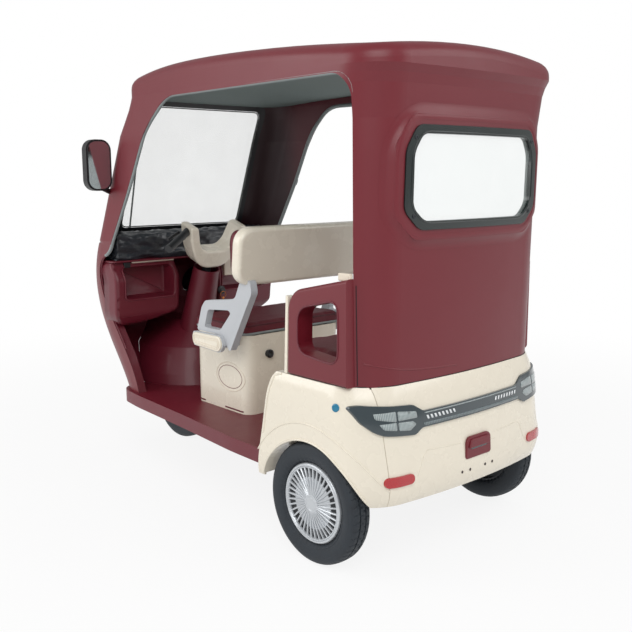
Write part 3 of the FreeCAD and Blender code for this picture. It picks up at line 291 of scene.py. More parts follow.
def clear(finish, colour, roughness, alpha):
    """Glass or clear plastic, thin enough to see through without bending the view."""
    haze = finish.noise(9.0, 3.0)
    finish.set(Base_Color=linear(*colour), Roughness=roughness + 0.05 * haze, IOR=1.45)
    finish.set(Alpha=alpha + 0.05 * haze)


# Middles that skins are judged from, in metres as the shader has its places
CABIN_MIDDLE = (0.0, 0.12, 1.1)
COWL_MIDDLE = (0.0, -0.35, 0.7)
PRISM_PITCH = 6.981317
MAROON = (108, 23, 35)

# Colours go from 0 to 255. Moulded finishes: colour, roughness, scale and depth of the grain, then
# coat, metal and mottling; special ones start with their own function
MOULDED = {
    "maroon": (MAROON, 0.42, 700.0, 0.1, 0.05),
    "maroon_inner": ((98, 20, 36), 0.46, 600.0, 0.12, 0.1),
    "cream": ((230, 222, 205), 0.27, 420.0, 0.03, 0.35, 0.0, 0.025),
    "cream_trim": ((226, 214, 196), 0.34, 500.0, 0.05, 0.1),
    "black_plastic": ((24, 25, 28), 0.42, 800.0, 0.1),
    "window_frame": ((18, 30, 29), 0.22, 500.0, 0.05, 0.4),
    "seal": ((138, 146, 146), 0.62, 500.0, 0.2),
    "dark_gap": ((34, 10, 16), 0.6, 400.0, 0.1),
    "silver": ((196, 200, 204), 0.3, 400.0, 0.04, 0.3, 0.45),
    # Dark of the fan covers' back disc: painted shade between the vanes, together with the rim's own dark.
    "rim_and_shade_dark": ((22, 25, 30), 0.5, 300.0, 0.1),
    "bracket": ((184, 187, 191), 0.36, 500.0, 0.05, 0.15),
    "steel": ((52, 54, 58), 0.5, 300.0, 0.1, 0.0, 0.5),
    "copper": ((186, 112, 62), 0.32, 300.0, 0.05, 0.0, 0.9),
    "smoke": ((46, 58, 63), 0.14, 200.0, 0.02, 0.7),
    "lamp_dash": ((232, 236, 238), 0.25, 300.0, 0.03, 0.4),
    "blue_cap": ((20, 116, 150), 0.25, 300.0, 0.05, 0.4),
    "mirror_glass": ((205, 212, 214), 0.05, 200.0, 0.01, 0.0, 1.0),
}
SPECIAL = {
    # roof, wall and cowl: the second colour is painted shade on the inward faces; the roof's last pair is
    # the span where that shade deepens to near black towards the front.
    "roof": (shell, MAROON, (82, 17, 29), CABIN_MIDDLE, 0.4, (-520.0, -330.0)),
    "wall": (shell, MAROON, (88, 20, 32), CABIN_MIDDLE, 0.4),
    "cowl": (shell, MAROON, (92, 20, 33), COWL_MIDDLE, 0.42),
    "floor_panel": (walked, (104, 24, 38)),
    "seat_cloth": (leather, (96, 17, 32), 0.5),
    "piping": (leather, (78, 12, 25), 0.46),
    "headliner": (leather, (118, 132, 130), 0.75),
    "film": (film,),
    "tread_rubber": (tread_rubber,),
    "lamp_panel": (ribs, (120, 132, 134), (176, 186, 186), 5.0),
    "lamp_strip": (ribs, (72, 84, 88), (110, 124, 127), 7.0),
    "reflector": (prisms, (176, 12, 26)),
    "glass": (clear, (222, 233, 230), 0.03, 0.12),
    "lamp_glass": (clear, (225, 232, 235), 0.05, 0.25),
}
FINISHES = {}


def mix_finishes():
    """Makes every finish from the tables."""
    plain = {name: (moulded, *values) for name, values in MOULDED.items()}
    for name, (make, *values) in {**plain, **SPECIAL}.items():
        finish = Finish(name)
        make(finish, *values)
        FINISHES[name] = finish.material


NODE_FINISH = {
    "maroon": "side_panel_left side_panel_right plate_lamp",
    "roof": "roof_shell",
    "wall": "rear_wall",
    "cowl": "nose_cowl",
    "floor_panel": "floor_pan",
    "maroon_inner": "dash_panel column_cover",
    "seat_cloth": "backrest_pad seat_cushion bench_cushion bench_backrest",
    "cream": "rear_tub fender_left fender_right seat_box backrest_shell handlebar_cover bench_base",
    "black_plastic": "windscreen_frame front_mudguard wiper mirror_left mirror_right grip_left "
                     "grip_right seat_lock battery_pack headlamp_left headlamp_right",
    "window_frame": "rear_window_frame",
    "film": "dash_pad",
    "tread_rubber": "front_tyre rear_left_tyre rear_right_tyre",
    "headliner": "headliner",
    "silver": "rear_left_cover rear_right_cover",
    "bracket": "seat_bracket_left seat_bracket_right",
    "steel": "chassis_frame fork front_rim rear_left_rim rear_right_rim rear_axle drive_motor "
             "spring_left spring_right",
    "smoke": "tail_lamp",
    "reflector": "reflector_left reflector_right",
    "glass": "windscreen rear_window",
    "mirror_glass": "mirror_glass_left mirror_glass_right",
}


def dress_nodes():
    """Gives the nodes of the frame their finishes."""
    for name, nodes in NODE_FINISH.items():
        for node in nodes.split():
            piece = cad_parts[node]
            piece.data.materials.clear()
            piece.data.materials.append(FINISHES[name])


def linked(name, data):
    """A new object in the scene."""
    made = bpy.data.objects.new(name, data)
    bpy.context.scene.collection.objects.link(made)
    return made


def add_camera():
    data = bpy.data.cameras.new("camera")
    data.sensor_width = SENSOR
    data.lens = CAMERA_LENS
    camera = linked("camera", data)
    place = Matrix.Translation(CAMERA_PLACE)
    for angle, axis in ((180 - CAMERA_YAW, "Z"), (90 - CAMERA_DIP, "X"), (CAMERA_ROLL, "Z")):
        place = place @ Matrix.Rotation(math.radians(angle), 4, axis)
    camera.matrix_world = place
    bpy.context.scene.camera = camera


def add_floor():
    """A floor that shows white to the camera, keeps a soft shadow near, and fades into the world."""
    data = bpy.data.meshes.new("floor")
    corners = block((-FLOOR_REACH, -FLOOR_REACH), (FLOOR_REACH, FLOOR_REACH))
    data.from_pydata([(a, b, 0) for a, b in corners], [], [(0, 1, 2, 3)])
    floor = linked("floor", data)
    finish = Finish("floor")
    finish.set(Base_Color=FLOOR_GREY, Roughness=0.9)
    rays = finish.node("ShaderNodeLightPath")
    seen = rays["Is Camera Ray"].math("MAXIMUM", rays["Is Glossy Ray"])
    seen = seen.math("MAXIMUM", rays["Is Transmission Ray"])
    white = finish.node("ShaderNodeEmission", None, {"Color": (1.0, 1.0, 1.0), "Strength": 1.0})
    away = (finish.part("X") ** 2.0 + finish.part("Y") ** 2.0) ** 0.5
    share = seen * (FLOOR_WHITE_NEAR + (1 - FLOOR_WHITE_NEAR) * finish.ramp(away, *FLOOR_FADE))
    lit = Value(finish, finish.shader.outputs["BSDF"])
    shaders = {0: share, 1: lit, 2: white["Emission"]}
    mixed = finish.node("ShaderNodeMixShader", None, shaders)["Shader"]
    finish.feed(finish.tree.nodes["Material Output"].inputs["Surface"], mixed)
    data.materials.append(finish.material)


def add_studio():
    """A white world and three soft lamps round the vehicle."""
    world = bpy.data.worlds.new("world")
    bpy.context.scene.world = world
    nodes = Nodes(world)
    background = nodes.tree.nodes["Background"]
    rays = nodes.node("ShaderNodeLightPath")
    seen = rays["Is Camera Ray"].math("MAXIMUM", rays["Is Transmission Ray"])
    nodes.feed(background.inputs["Strength"], WORLD_LIGHT + (1 - WORLD_LIGHT) * seen)
    nodes.feed(background.inputs["Color"], (1.0, 1.0, 1.0))
    for name, place, target, size, power in LAMPS:
        data = bpy.data.lights.new(name, "AREA")
        data.size = size
        data.energy = power
        lamp = linked(name, data)
        lamp.location = place
        lamp.rotation_euler = (Vector(target) - Vector(place)).to_track_quat("-Z", "Y").to_euler()


def piece_from(name, points, faces, finish, body="body", sharp=SHARP):
    """A new piece from points in millimetres; it rides on a body of the frame."""
    data = bpy.data.meshes.new(name)
    data.from_pydata([Vector(point) * MM for point in points], [], faces)
    built = bmesh.new()
    built.from_mesh(data)
    bmesh.ops.remove_doubles(built, verts=built.verts, dist=0.02 * MM)
    bmesh.ops.recalc_face_normals(built, faces=built.faces)
    built.to_mesh(data)
    built.free()
    data.shade_smooth()
    data.set_sharp_from_angle(angle=math.radians(sharp))
    data.materials.append(FINISHES[finish])
    piece = linked(name, data)
    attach(piece, body)
    return piece


def grid_faces(rows, columns, closed):
    """Quads between rows of points; a closed grid joins its last column to its first."""
    faces = []
    for row in range(rows - 1):
        for column in range(columns if closed else columns - 1):
            beside = (column + 1) % columns
            faces.append((row * columns + column, row * columns + beside,
                          (row + 1) * columns + beside, (row + 1) * columns + column))
    return faces


def turned(profile, centre, side, steps, shift=None):
    """Points of a profile (distance along the wheel's axle, radius) turned round that axle."""
    points = []
    for along, radius in profile:
        for step in range(steps):
            angle = 2 * math.pi * step / steps
            out = radius - (shift(along, step) if shift else 0)
            points.append((centre[0] + side * along, centre[1] + out * math.cos(angle),
                           centre[2] + out * math.sin(angle)))
    return points


def lathe_piece(name, profile, centre, side, finish, body, steps=96):
    points = turned(profile, centre, side, steps)
    return piece_from(name, points, grid_faces(len(profile), steps, True), finish, body)


def rounded(outline, radius):
    """An outline with each corner eased by a short curve."""
    eased = []
    count = len(outline)
    for index, corner in enumerate(outline):
        corner = Vector(corner)
        before = Vector(outline[index - 1]) - corner
        after = Vector(outline[(index + 1) % count]) - corner
        cut = min(radius, 0.48 * before.length, 0.48 * after.length)
        start = corner + before.normalized() * cut
        end = corner + after.normalized() * cut
        for step in range(ROUND_STEPS + 1):
            share = step / ROUND_STEPS
            eased.append(start * (1 - share) ** 2 + corner * 2 * share * (1 - share) + end * share ** 2)
    return eased


def grown(outline, distance):
    """A closed outline moved outward, or inward where the distance is below 0."""
    points = [Vector(point) for point in outline]
    area = sum(a.x * b.y - b.x * a.y for a, b in zip(points, points[1:] + points[:1]))
    turn = 1 if area > 0 else -1
    moved = []
    for index, point in enumerate(points):
        along = points[(index + 1) % len(points)] - points[index - 1]
        out = Vector((along.y, -along.x)).normalized() * turn
        moved.append(point + out * distance)
    return moved


def mirrored(outline, side):
    return [(side * a, b) for a, b in outline]


def symmetric(half):
    """A closed outline from its one half, listed upward."""
    other = mirrored(half, -1)
    return other[:1] + half + other[:0:-1]


def block(low, high):
    return [(low[0], low[1]), (high[0], low[1]), (high[0], high[1]), (low[0], high[1])]


def arc(centre, radii, angles):
    """Points on part of a circle or oval; the angles are the first, the end and the step."""
    points = []
    for angle in range(*angles):
        turn = math.radians(angle)
        points.append((centre[0] + radii[0] * math.cos(turn), centre[1] + radii[1] * math.sin(turn)))
    return points


def stepped(points, pitch, closed=False):
    """Flat points at an even pitch along a line."""
    found = []
    for a, b in zip(points, points[1:] + points[:1] if closed else points[1:]):
        a, b = Vector(a), Vector(b)
        parts = max(1, round((b - a).length / pitch))
        found += [a.lerp(b, part / parts) for part in range(parts)]
    return found if closed else found + [Vector(points[-1])]


def inside(point, outline):
    crossings = 0
    for a, b in zip(outline, outline[1:] + outline[:1]):
        if (a[1] > point[1]) != (b[1] > point[1]):
            reach = a[0] + (point[1] - a[1]) * (b[0] - a[0]) / (b[1] - a[1])
            crossings += point[0] < reach
    return crossings % 2 == 1


def flat_net(outline, holes, cell):
    """Even triangles over an outline with holes."""
    points = []
    edges = []
    for loop in (outline, *holes):
        start = len(points)
        points += stepped(loop, cell, True)
        last = len(points) - 1
        edges += [(index, index + 1) for index in range(start, last)] + [(last, start)]
    rim = len(points)
    low = [min(point[axis] for point in outline) for axis in (0, 1)]
    high = [max(point[axis] for point in outline) for axis in (0, 1)]
    for column in range(1, int((high[0] - low[0]) / cell) + 1):
        for row in range(1, int((high[1] - low[1]) / cell) + 1):
            spot = Vector((low[0] + column * cell, low[1] + row * cell))
            near = min((spot - point).length for point in points[:rim])
            if near > 0.45 * cell and inside(spot, outline):
                points.append(spot)
    found = delaunay_2d_cdt(points, edges, [], 0, 0.0001)
    faces = []
    for face in found[2]:
        middle = sum((found[0][index] for index in face), Vector((0, 0))) / len(face)
        if inside(middle, outline) and not any(inside(middle, hole) for hole in holes):
            faces.append(tuple(face))
    return list(found[0]), faces


# Where a view's two flat measures go, and its depth, which grows towards the one who looks
VIEWS = {
    "rear": lambda a, b, depth: (a, depth, b),
    "front": lambda a, b, depth: (a, -depth, b),
    "left": lambda a, b, depth: (depth, a, b),
    "right": lambda a, b, depth: (-depth, a, b),
}
SIDES = {"left": 1, "right": -1}
AXES = {"X": lambda a, b, c: (c, a, b), "Y": lambda a, b, c: (a, c, b), "Z": lambda a, b, c: (a, b, c)}


class Skin:
    """The outside of some nodes or pieces, on which others are laid."""

    def __init__(self, *nodes):
        points = []
        faces = []
        for node in nodes:
            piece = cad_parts[node] if isinstance(node, str) else node
            start = len(points)
            points += [vertex.co / MM for vertex in piece.data.vertices]
            faces += [tuple(start + index for index in face.vertices) for face in piece.data.polygons]
        self.tree = BVHTree.FromPolygons(points, faces)

    def touch(self, facing, a, b, start=FAR):
        """The point and outward direction of the skin behind a spot of a view, or None."""
        place = VIEWS[facing]
        hit = self.tree.ray_cast(Vector(place(a, b, start)), Vector(place(0, 0, -1)))
        return hit[:2] if hit[0] else None


def settle(points, skin, facing, proud, start=FAR):
    """Lays flat points onto the skin, standing proud of it; a miss takes its neighbour's depth."""
    place = VIEWS[facing]
    back = Vector(place(0, 0, 1))
    laid = []
    depth = None
    for a, b in points:
        hit = skin.touch(facing, a, b, start)
        if hit:
            depth = hit[0].dot(back)
        laid.append(None if depth is None else Vector(place(a, b, depth)) + back * proud)
    known = next(filter(None, laid)).dot(back)
    return [point or Vector(place(*flat, known)) for point, flat in zip(laid, points)]


def modify(piece, kind, **settings):
    modifier = piece.modifiers.new(kind, kind)
    for name, value in settings.items():
        setattr(modifier, name, value)


def thicken(piece, thick):
    modify(piece, "SOLIDIFY", thickness=thick * MM, offset=0)


def patch(name, outline, facing, skin, proud, thick, finish, cell=NET_CELL):
    """A thin panel that follows the skin behind it."""
    points, faces = flat_net(outline, [], cell)
    piece = piece_from(name, settle(points, skin, facing, proud), faces, finish)
    thicken(piece, thick)


def tube(name, points, radius, finish, body="body", closed=False, smooth=False):
    """A round bead, rod or lip along points in millimetres."""
    data = bpy.data.curves.new(name, "CURVE")
    data.dimensions = "3D"
    data.bevel_depth = radius * MM
    data.bevel_resolution = 3
    data.use_fill_caps = not closed
    spline = data.splines.new("NURBS" if smooth else "POLY")
    spline.points.add(len(points) - 1)
    for point, place in zip(spline.points, points):
        point.co = (*(Vector(place) * MM), 1)
    spline.order_u = 3
    spline.use_endpoint_u = smooth
    spline.resolution_u = 6
    spline.use_cyclic_u = closed
    data.materials.append(FINISHES[finish])
    piece = linked(name, data)
    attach(piece, body)


def line_on(name, points, facing, skin, radius, finish, closed=False, proud=0.0, start=FAR):
    """A bead that follows the skin."""
    flat = stepped(points, BEAD_PITCH, closed)
    tube(name, settle(flat, skin, facing, proud, start), radius, finish, "body", closed)


def prism_piece(name, outline, axis, low, high, finish, edge=3.0, body="body"):
    """An outline carried straight along an axis, with eased edges."""
    place = AXES[axis]
    count = len(outline)
    points = [place(a, b, low) for a, b in outline] + [place(a, b, high) for a, b in outline]
    faces = grid_faces(2, count, True) + [tuple(range(count)), tuple(range(count, 2 * count))]
    piece = piece_from(name, points, faces, finish, body)
    limit = math.radians(EDGE_LIMIT)
    modify(piece, "BEVEL", width=edge * MM, segments=3, limit_method="ANGLE", angle_limit=limit)
    return piece


def button(name, centre, direction, profile, finish, steps):
    """A small turned part such as a screw, cap or knob: profile gives height and radius."""
    turn = Vector(direction).normalized().to_track_quat("X", "Z")
    points = [Vector(centre) + turn @ Vector(point) for point in turned(profile, (0, 0, 0), 1, steps)]
    piece_from(name, points, grid_faces(len(profile), steps, True), finish)


def applied(piece):
    """Takes the shape after modifiers into the mesh and removes them."""
    graph = bpy.context.evaluated_depsgraph_get()
    mesh = bpy.data.meshes.new_from_object(piece.evaluated_get(graph))
    piece.modifiers.clear()
    piece.data = mesh


def remeshed(piece, cell):
    """Rebuilds a closed form in even cells."""
    modify(piece, "REMESH", mode="VOXEL", voxel_size=cell * MM)
    applied(piece)


# Wheels: centres across and along the vehicle
WHEEL_RADIUS = 205.0
WHEELS = {"rear_left": (438.0, 716.0), "rear_right": (-438.0, 716.0), "front": (0.0, -755.0)}

# Tyres: half of the section as distance along the axle and radius, then the cuts of the tread
TYRE_HALF = [
    (0, 205), (4, 204.9), (9.4, 204.8), (10.1, 204.8), (13.9, 204.4), (14.6, 204.4), (19, 203.9),
    (24, 203), (28, 201.5), (32, 199.5), (35.5, 197), (38, 194), (39.6, 190), (41, 184),
    (42, 172), (39.5, 158), (33, 143), (25, 137),
]
WALL_LINES = [(41.3, 179), (36.0, 149)]
TYRE_STEPS = 288
TREAD_PITCH = 6
TREAD_DEPTH = 4.0
SIDE_GROOVE_DEPTH = 3.2
SIDE_GROOVE_LEAN = 9.0
TREAD_EDGE = 34.0
RIB_GROOVE = (10.0, 14.0)


def tread(along, step):
    """How deep the tread is cut at a place: two ribs' grooves and slanting side grooves."""
    reach = abs(along)
    if reach > TREAD_EDGE:
        return 0.0
    if RIB_GROOVE[0] < reach < RIB_GROOVE[1]:
        return TREAD_DEPTH
    half = TREAD_PITCH // 2
    lean = int(reach / SIDE_GROOVE_LEAN) if reach > RIB_GROOVE[1] else half
    shift = half if along < 0 else 0
    return SIDE_GROOVE_DEPTH if (step + lean + shift) % TREAD_PITCH == 0 else 0.0


def make_tyres():
    """Tyres with tread, and two fine raised lines on each wall."""
    profile = mirrored(TYRE_HALF[:0:-1], -1) + TYRE_HALF
    faces = grid_faces(len(profile), TYRE_STEPS, True)
    for name, place in WHEELS.items():
        centre = (*place, WHEEL_RADIUS)
        body = name + "_wheel"
        points = turned(profile, centre, 1, TYRE_STEPS, tread)
        tyre = piece_from(name + "_tread_tyre", points, faces, "tread_rubber", body, 30.0)
        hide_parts(name + "_tyre")
        for wall, side in (("in", -1), ("out", 1)):
            for reach, radius in WALL_LINES:
                ring = [(reach - 0.9, radius + 2), (reach + 0.6, radius), (reach - 0.9, radius - 2)]
                line = f"{name}_wall_line_{wall}_{radius}"
                lathe_piece(line, ring, centre, side, "tread_rubber", body)


# Fan covers: sections as distance along the axle and radius, then the vanes
COVER_RING = [
    (25.3, 133), (30, 133), (33.5, 131), (35.2, 127.5), (34.6, 124.5), (32.6, 123.2), (34.4, 121.6),
    (34.2, 119), (31, 117), (27, 116.2), (25.4, 116),
]
COVER_DISH = [
    (25.4, 87), (28.6, 86.5), (29.6, 84), (30.6, 70), (31.8, 52), (33.2, 38), (34.4, 28), (34.6, 0.5),
]
# A dark disc behind the vanes: painted shade in the gaps between them, together with the dark of the rim
# behind.
COVER_SHADE_AND_RIM = [(25.6, 118), (26.0, 100), (26.2, 84)]
COVER_CAP = [
    (33.5, 31), (35.6, 30.4), (36.4, 28.6), (36.6, 24), (35.8, 23), (35.8, 21.5), (36.8, 20.5), (37.0, 0.3),
]
VANES = 36
VANE_ROWS = 9
VANE_INNER = 29
VANE_LENGTH = 90
VANE_SWIRL = 8.0
VANE_FOOT = 26.0


def vane_section(share):
    """A cut through a vane at a share of its length: distance across it, and along the axle."""
    half = 1.5 + 1.9 * math.sin(math.pi * (0.15 + 0.7 * share))
    ridge = 36.8 - 3.2 * share
    return [(-half, VANE_FOOT), (-half, ridge - 2.6), (-0.35 * half, ridge - 0.3),
            (0.35 * half, ridge), (half, ridge - 1.6), (half, VANE_FOOT)]


def make_fan_covers():
    """Turbine wheel covers: an outer double ring, a dish, and 36 ridged vanes that sweep to the rim."""
    shape = grid_faces(VANE_ROWS, 6, False)
    shape += [tuple(range(6)), tuple(range(6 * VANE_ROWS - 6, 6 * VANE_ROWS))]
    for name, side in (("rear_left", 1), ("rear_right", -1)):
        x, y = WHEELS[name]
        centre = (x, y, WHEEL_RADIUS)
        body = name + "_wheel"
        ring = lathe_piece(name + "_fan_ring", COVER_RING, centre, side, "silver", body, 144)
        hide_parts(name + "_cover")
        lathe_piece(name + "_fan_dish", COVER_DISH, centre, side, "silver", body)
        # Painted shade between the vanes, and the rim's dark behind them.
        lathe_piece(name + "_fan_dark", COVER_SHADE_AND_RIM, centre, side, "rim_and_shade_dark", body)
        lathe_piece(name + "_fan_cap", COVER_CAP, centre, side, "silver", body, 64)
        points = []
        faces = []
        for vane in range(VANES):
            faces += [tuple(len(points) + index for index in face) for face in shape]
            for row in range(VANE_ROWS):
                share = row / (VANE_ROWS - 1)
                radius = VANE_INNER + VANE_LENGTH * share
                angle = 2 * math.pi * vane / VANES + math.radians(VANE_SWIRL) * share ** 0.7
                for across, along in vane_section(share):
                    turn = angle + across / radius
                    points.append((x + side * along, y + radius * math.cos(turn),
                                   WHEEL_RADIUS + radius * math.sin(turn)))
        piece_from(name + "_fan_vanes", points, faces, "silver", body, 25.0)


# Cushions by node: piece, body, outline, its corners, axis of the thickness, base and top,
# size of the cloth's cells, and how far the cloth may swell
SEAT = block((-268, -276), (268, 97))
BENCH = [(-394, 800), (-394, 480), (-300, 418), (300, 418), (394, 480), (394, 800)]
BENCH_BACK = block((-392, 604), (392, 996))
PAD = block((-376, 874), (376, 1068))
CUSHIONS = {
    "seat_cushion": ("seat_cushion_cloth", "seat_lid", SEAT, 46, "Z", 644, 682, 6.0, 15.0),
    "bench_cushion": ("bench_cushion_cloth", "body", BENCH, 50, "Z", 600, 672, 8.0, 22.0),
    "bench_backrest": ("bench_back_cloth", "body", BENCH_BACK, 60, "Y", 828, 892, 8.0, 22.0),
    "backrest_pad": ("backrest_pad_cloth", "body", PAD, 56, "Y", 148, 176, 6.0, 14.0),
}
CUSHION_EDGE = 9
CLOTH_PRESSURE = 4
CLOTH_FRAMES = 20

# Seams: piece, cushion, height on it, radius and finish
CUSHION_SEAMS = [
    ("seat_cushion_piping", "seat_cushion", 677.0, 3.2, "piping"),
    ("seat_cushion_band", "seat_cushion", 646.0, 6.0, "seal"),
    ("bench_cushion_piping", "bench_cushion", 668.0, 3.2, "piping"),
    ("bench_back_piping", "bench_backrest", 832.0, 3.2, "piping"),
    ("backrest_pad_piping", "backrest_pad", 152.0, 3.2, "piping"),
]


def held(place, low, high):
    """A place moved into a box where it lies outside."""
    return [min(max(place[axis], low[axis]), high[axis]) for axis in range(3)]


def blow_up(pieces):
    """Lets air pressure swell the pieces as cloth, and keeps the result."""
    for piece in pieces:
        cloth = piece.modifiers.new("swell", "CLOTH")
        cloth.settings.use_pressure = True
        cloth.settings.uniform_pressure_force = CLOTH_PRESSURE
        cloth.settings.effector_weights.gravity = 0
        cloth.point_cache.frame_start = 1
        cloth.point_cache.frame_end = CLOTH_FRAMES
    for number in range(1, CLOTH_FRAMES + 1):
        bpy.context.scene.frame_set(number)
    for piece in pieces:
        applied(piece)
    bpy.context.scene.frame_set(1)


def make_cushions():
    """The four cushions, blown up together as cloth, each held inside its own space."""
    made = {}
    for node, (name, body, outline, corner, axis, low, high, cell, reach) in CUSHIONS.items():
        form = rounded(outline, corner)
        made[node] = prism_piece(name, form, axis, low, high, "seat_cloth", CUSHION_EDGE, body)
        applied(made[node])
        remeshed(made[node], cell)
    starts = {node: [vertex.co.copy() for vertex in piece.data.vertices] for node, piece in made.items()}
    blow_up(list(made.values()))
    for node, piece in made.items():
        far = CUSHIONS[node][-1] * MM
        low, high = (Vector(corner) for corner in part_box(node))
        for vertex, rest in zip(piece.data.vertices, starts[node]):
            moved = vertex.co - rest
            if moved.length > far:
                moved = moved.normalized() * far
            vertex.co = held(rest + moved, low, high)
        modify(piece, "SMOOTH", factor=0.5, iterations=6)
        applied(piece)
        modify(piece, "SUBSURF", levels=1)
        applied(piece)
        piece.data.shade_smooth()
        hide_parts(node)
    for name, node, height, radius, finish in CUSHION_SEAMS:
        seam_ring(name, made[node], height, radius, finish, *CUSHIONS[node][1:5])


def seam_ring(name, piece, height, radius, finish, body, outline, corner, axis):
    """A piped seam round a cushion at one height, laid on its swollen side."""
    skin = Skin(piece)
    place = AXES[axis]
    flat = stepped(rounded(outline, corner), 9.0, True)
    middle = sum(flat, Vector((0, 0))) / len(flat)
    points = []
    for spot in flat:
        out = spot - middle
        far = Vector(place(*(middle + out * 1.4), height))
        ahead = Vector(place(*(-out), 0.0)).normalized()
        hit = skin.tree.ray_cast(far, ahead)
        points.append(hit[0] or Vector(place(*spot, height)))
    tube(name, points, radius, finish, body, True)


# Rear window: the swelling's outline, then how far out each of its rings lies and how much it swells
BEZEL = symmetric([(284, 1062), (362, 1134), (360, 1344), (302, 1434)])
SWELLING = [
    (34, 0.0), (28, 0.03), (20, 0.16), (12, 0.4), (5, 0.68), (-2, 0.88), (-9, 0.97), (-16, 1.0),
]
GLASS_EDGE = symmetric([(252, 1112), (306, 1162), (304, 1322), (268, 1384)])
WALL_CREASE = [(418, 690), (372, 678), (314, 665), (230, 655), (140, 649), (60, 646)]
SCREW_HEAD = [(-1, 7), (1.2, 7), (2.2, 5.8), (2.4, 3.2), (1.2, 2.8), (1.2, 0.2)]


def make_rear_window():
    """A soft swelling round the rear window, the frame's screws, and a bead round the glass."""
    skin = Skin("rear_wall", "roof_shell")
    base = stepped(rounded(BEZEL, 70), 14.0, True)
    rings = [(grown(base, distance), share) for distance, share in SWELLING]
    outer = settle(rings[0][0], skin, "rear", 0.2)
    inner = settle(rings[-1][0], skin, "rear", 0.9)
    points = []
    for flat, share in rings:
        for spot, far, near in zip(flat, outer, inner):
            depth = far.y * (1 - share) + near.y * share
            hit = skin.touch("rear", spot.x, spot.y)
            if hit:
                depth = max(depth, hit[0].y + 0.6)
            points.append((spot.x, depth, spot.y))
    faces = grid_faces(len(rings), len(base), True)
    piece_from("rear_window_surround", points, faces, "wall", "body", 60)
    line_on("rear_wall_crease", WALL_CREASE, "rear", Skin("rear_wall"), 4.0, "wall", proud=-2.6)
    window = Skin("rear_window_frame")
    for name, side in SIDES.items():
        for level, height in (("upper", 1366), ("lower", 1134)):
            spot = window.touch("rear", side * 292, height)[0]
            button(f"frame_screw_{level}_{name}", spot, (0, 1, 0), SCREW_HEAD, "steel", 24)
    window = Skin("rear_window_frame", "rear_window")
    line_on("rear_frame_bead", rounded(GLASS_EDGE, 40), "rear", window, 2.2, "window_frame", True)


LAMP_PANELS = {
    "upper_outer": [(356, 545), (357, 513), (420, 525), (424, 543)],
    "upper_inner": [(350, 544), (351, 515), (274, 514), (276, 534)],
    "lower_outer": [(357, 512), (357, 486), (398, 492), (412, 510)],
    "lower_inner": [(351, 510), (350, 485), (306, 479), (280, 495), (293, 506)],
}
LAMP_STRIP = symmetric([(246, 484), (250, 494)])
LAMP_UPPER_LINE = symmetric([(238, 522), (244, 525.5)])
LAMP_DASH = [(0, 503), (8, 503), (13, 515), (5, 515)]


def make_tail_lamp():
    """Ribbed panels, a row of dashes, a strip and a thin upper line on the smoked cover."""
    skin = Skin("tail_lamp")
    for name, side in SIDES.items():
        for label, outline in LAMP_PANELS.items():
            flat = rounded(mirrored(outline, side), 5)
            patch(f"lamp_{label}_{name}", flat, "rear", skin, 0.5, 0.8, "lamp_panel")
        for row in range(8):
            dash = mirrored([(104 + 17 * row + a, b) for a, b in LAMP_DASH], side)
            patch(f"lamp_dash_{name}_{row}", dash, "rear", skin, 0.9, 0.9, "lamp_dash", 6.0)
    patch("lamp_strip", rounded(LAMP_STRIP, 3), "rear", skin, 0.5, 0.8, "lamp_strip")
    patch("lamp_upper_line", LAMP_UPPER_LINE, "rear", skin, 0.6, 0.8, "lamp_panel", 8.0)


PLATE_LAMP = symmetric([(60, 336), (66, 342), (62, 398), (50, 410)])
PLATE_HOOD = symmetric([(56, 372), (46, 402)])
PLATE_LINES = {
    "plate_edge_left": [(283, 330), (252, 390), (234, 403), (82, 395)],
    "plate_edge_right": [(-102, 397), (-236, 402), (-254, 390), (-283, 330)],
    "plate_edge_middle": [(-30, 376), (-95, 375)],
}
PLATE_HOLE = [(0.4, 5.2), (0.7, 4.8), (0.6, 0.2)]
FENDER_CAP = [(-1, 13), (1.6, 13), (2.6, 11.4), (2.8, 7), (1.8, 6.4), (1.8, 0.2)]
FENDER_LIP = [(572, 613), (540, 604), (517, 541), (501, 460), (492, 400)]
ARCH_CENTRE = (716, 178)


def make_rear_details():
    """The lamp, holes and pressed lines of the plate's place, and the fenders' caps and lips."""
    tub = Skin("rear_tub", "fender_left", "fender_right")
    depth = tub.touch("rear", 0, 370)[0].y
    lamp = prism_piece("plate_lamp_housing", rounded(PLATE_LAMP, 9), "Y", depth - 4, depth + 7, "maroon")
    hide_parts("plate_lamp")
    prism_piece("plate_lamp_hood", rounded(PLATE_HOOD, 8), "Y", depth + 4, 1029, "maroon", 4)
    glass = block((-40, 366), (40, 372))
    prism_piece("plate_lamp_glass", glass, "Y", depth + 5, 1024, "smoke", 1)
    # Painted shade: each hole is a thin dark disc laid on the tub, not cut into it.
    for number, a in enumerate((-80, -40, 40, 80)):
        spot = tub.touch("rear", a, 297)[0]
        button(f"plate_hole_{number}", spot, (0, 1, 0), PLATE_HOLE, "dark_gap", 20)
    for name, line in PLATE_LINES.items():
        line_on(name, line, "rear", tub, 1.3, "cream")
    for name in SIDES:
        button("fender_cap_" + name, *tub.touch(name, 841, 553), FENDER_CAP, "blue_cap", 36)
        arch = arc(ARCH_CENTRE, (240, 240), (22, 166, 4))
        line_on("arch_lip_" + name, arch, name, tub, 4.0, "cream")
        flare = arc(ARCH_CENTRE, (296, 296), (24, 150, 4))
        line_on("arch_flare_" + name, flare, name, tub, 2.2, "cream")
        line_on("fender_front_lip_" + name, FENDER_LIP, name, tub, 3.5, "cream")


PANEL_STRIP = rounded([(583, 618), (597, 618), (606, 872), (594, 876)], 4)
PANEL_WINDOW = rounded([(655, 700), (657, 838), (838, 882), (838, 684)], 44)
PANEL_CATCH = rounded(block((824, 942), (874, 966)), 5)


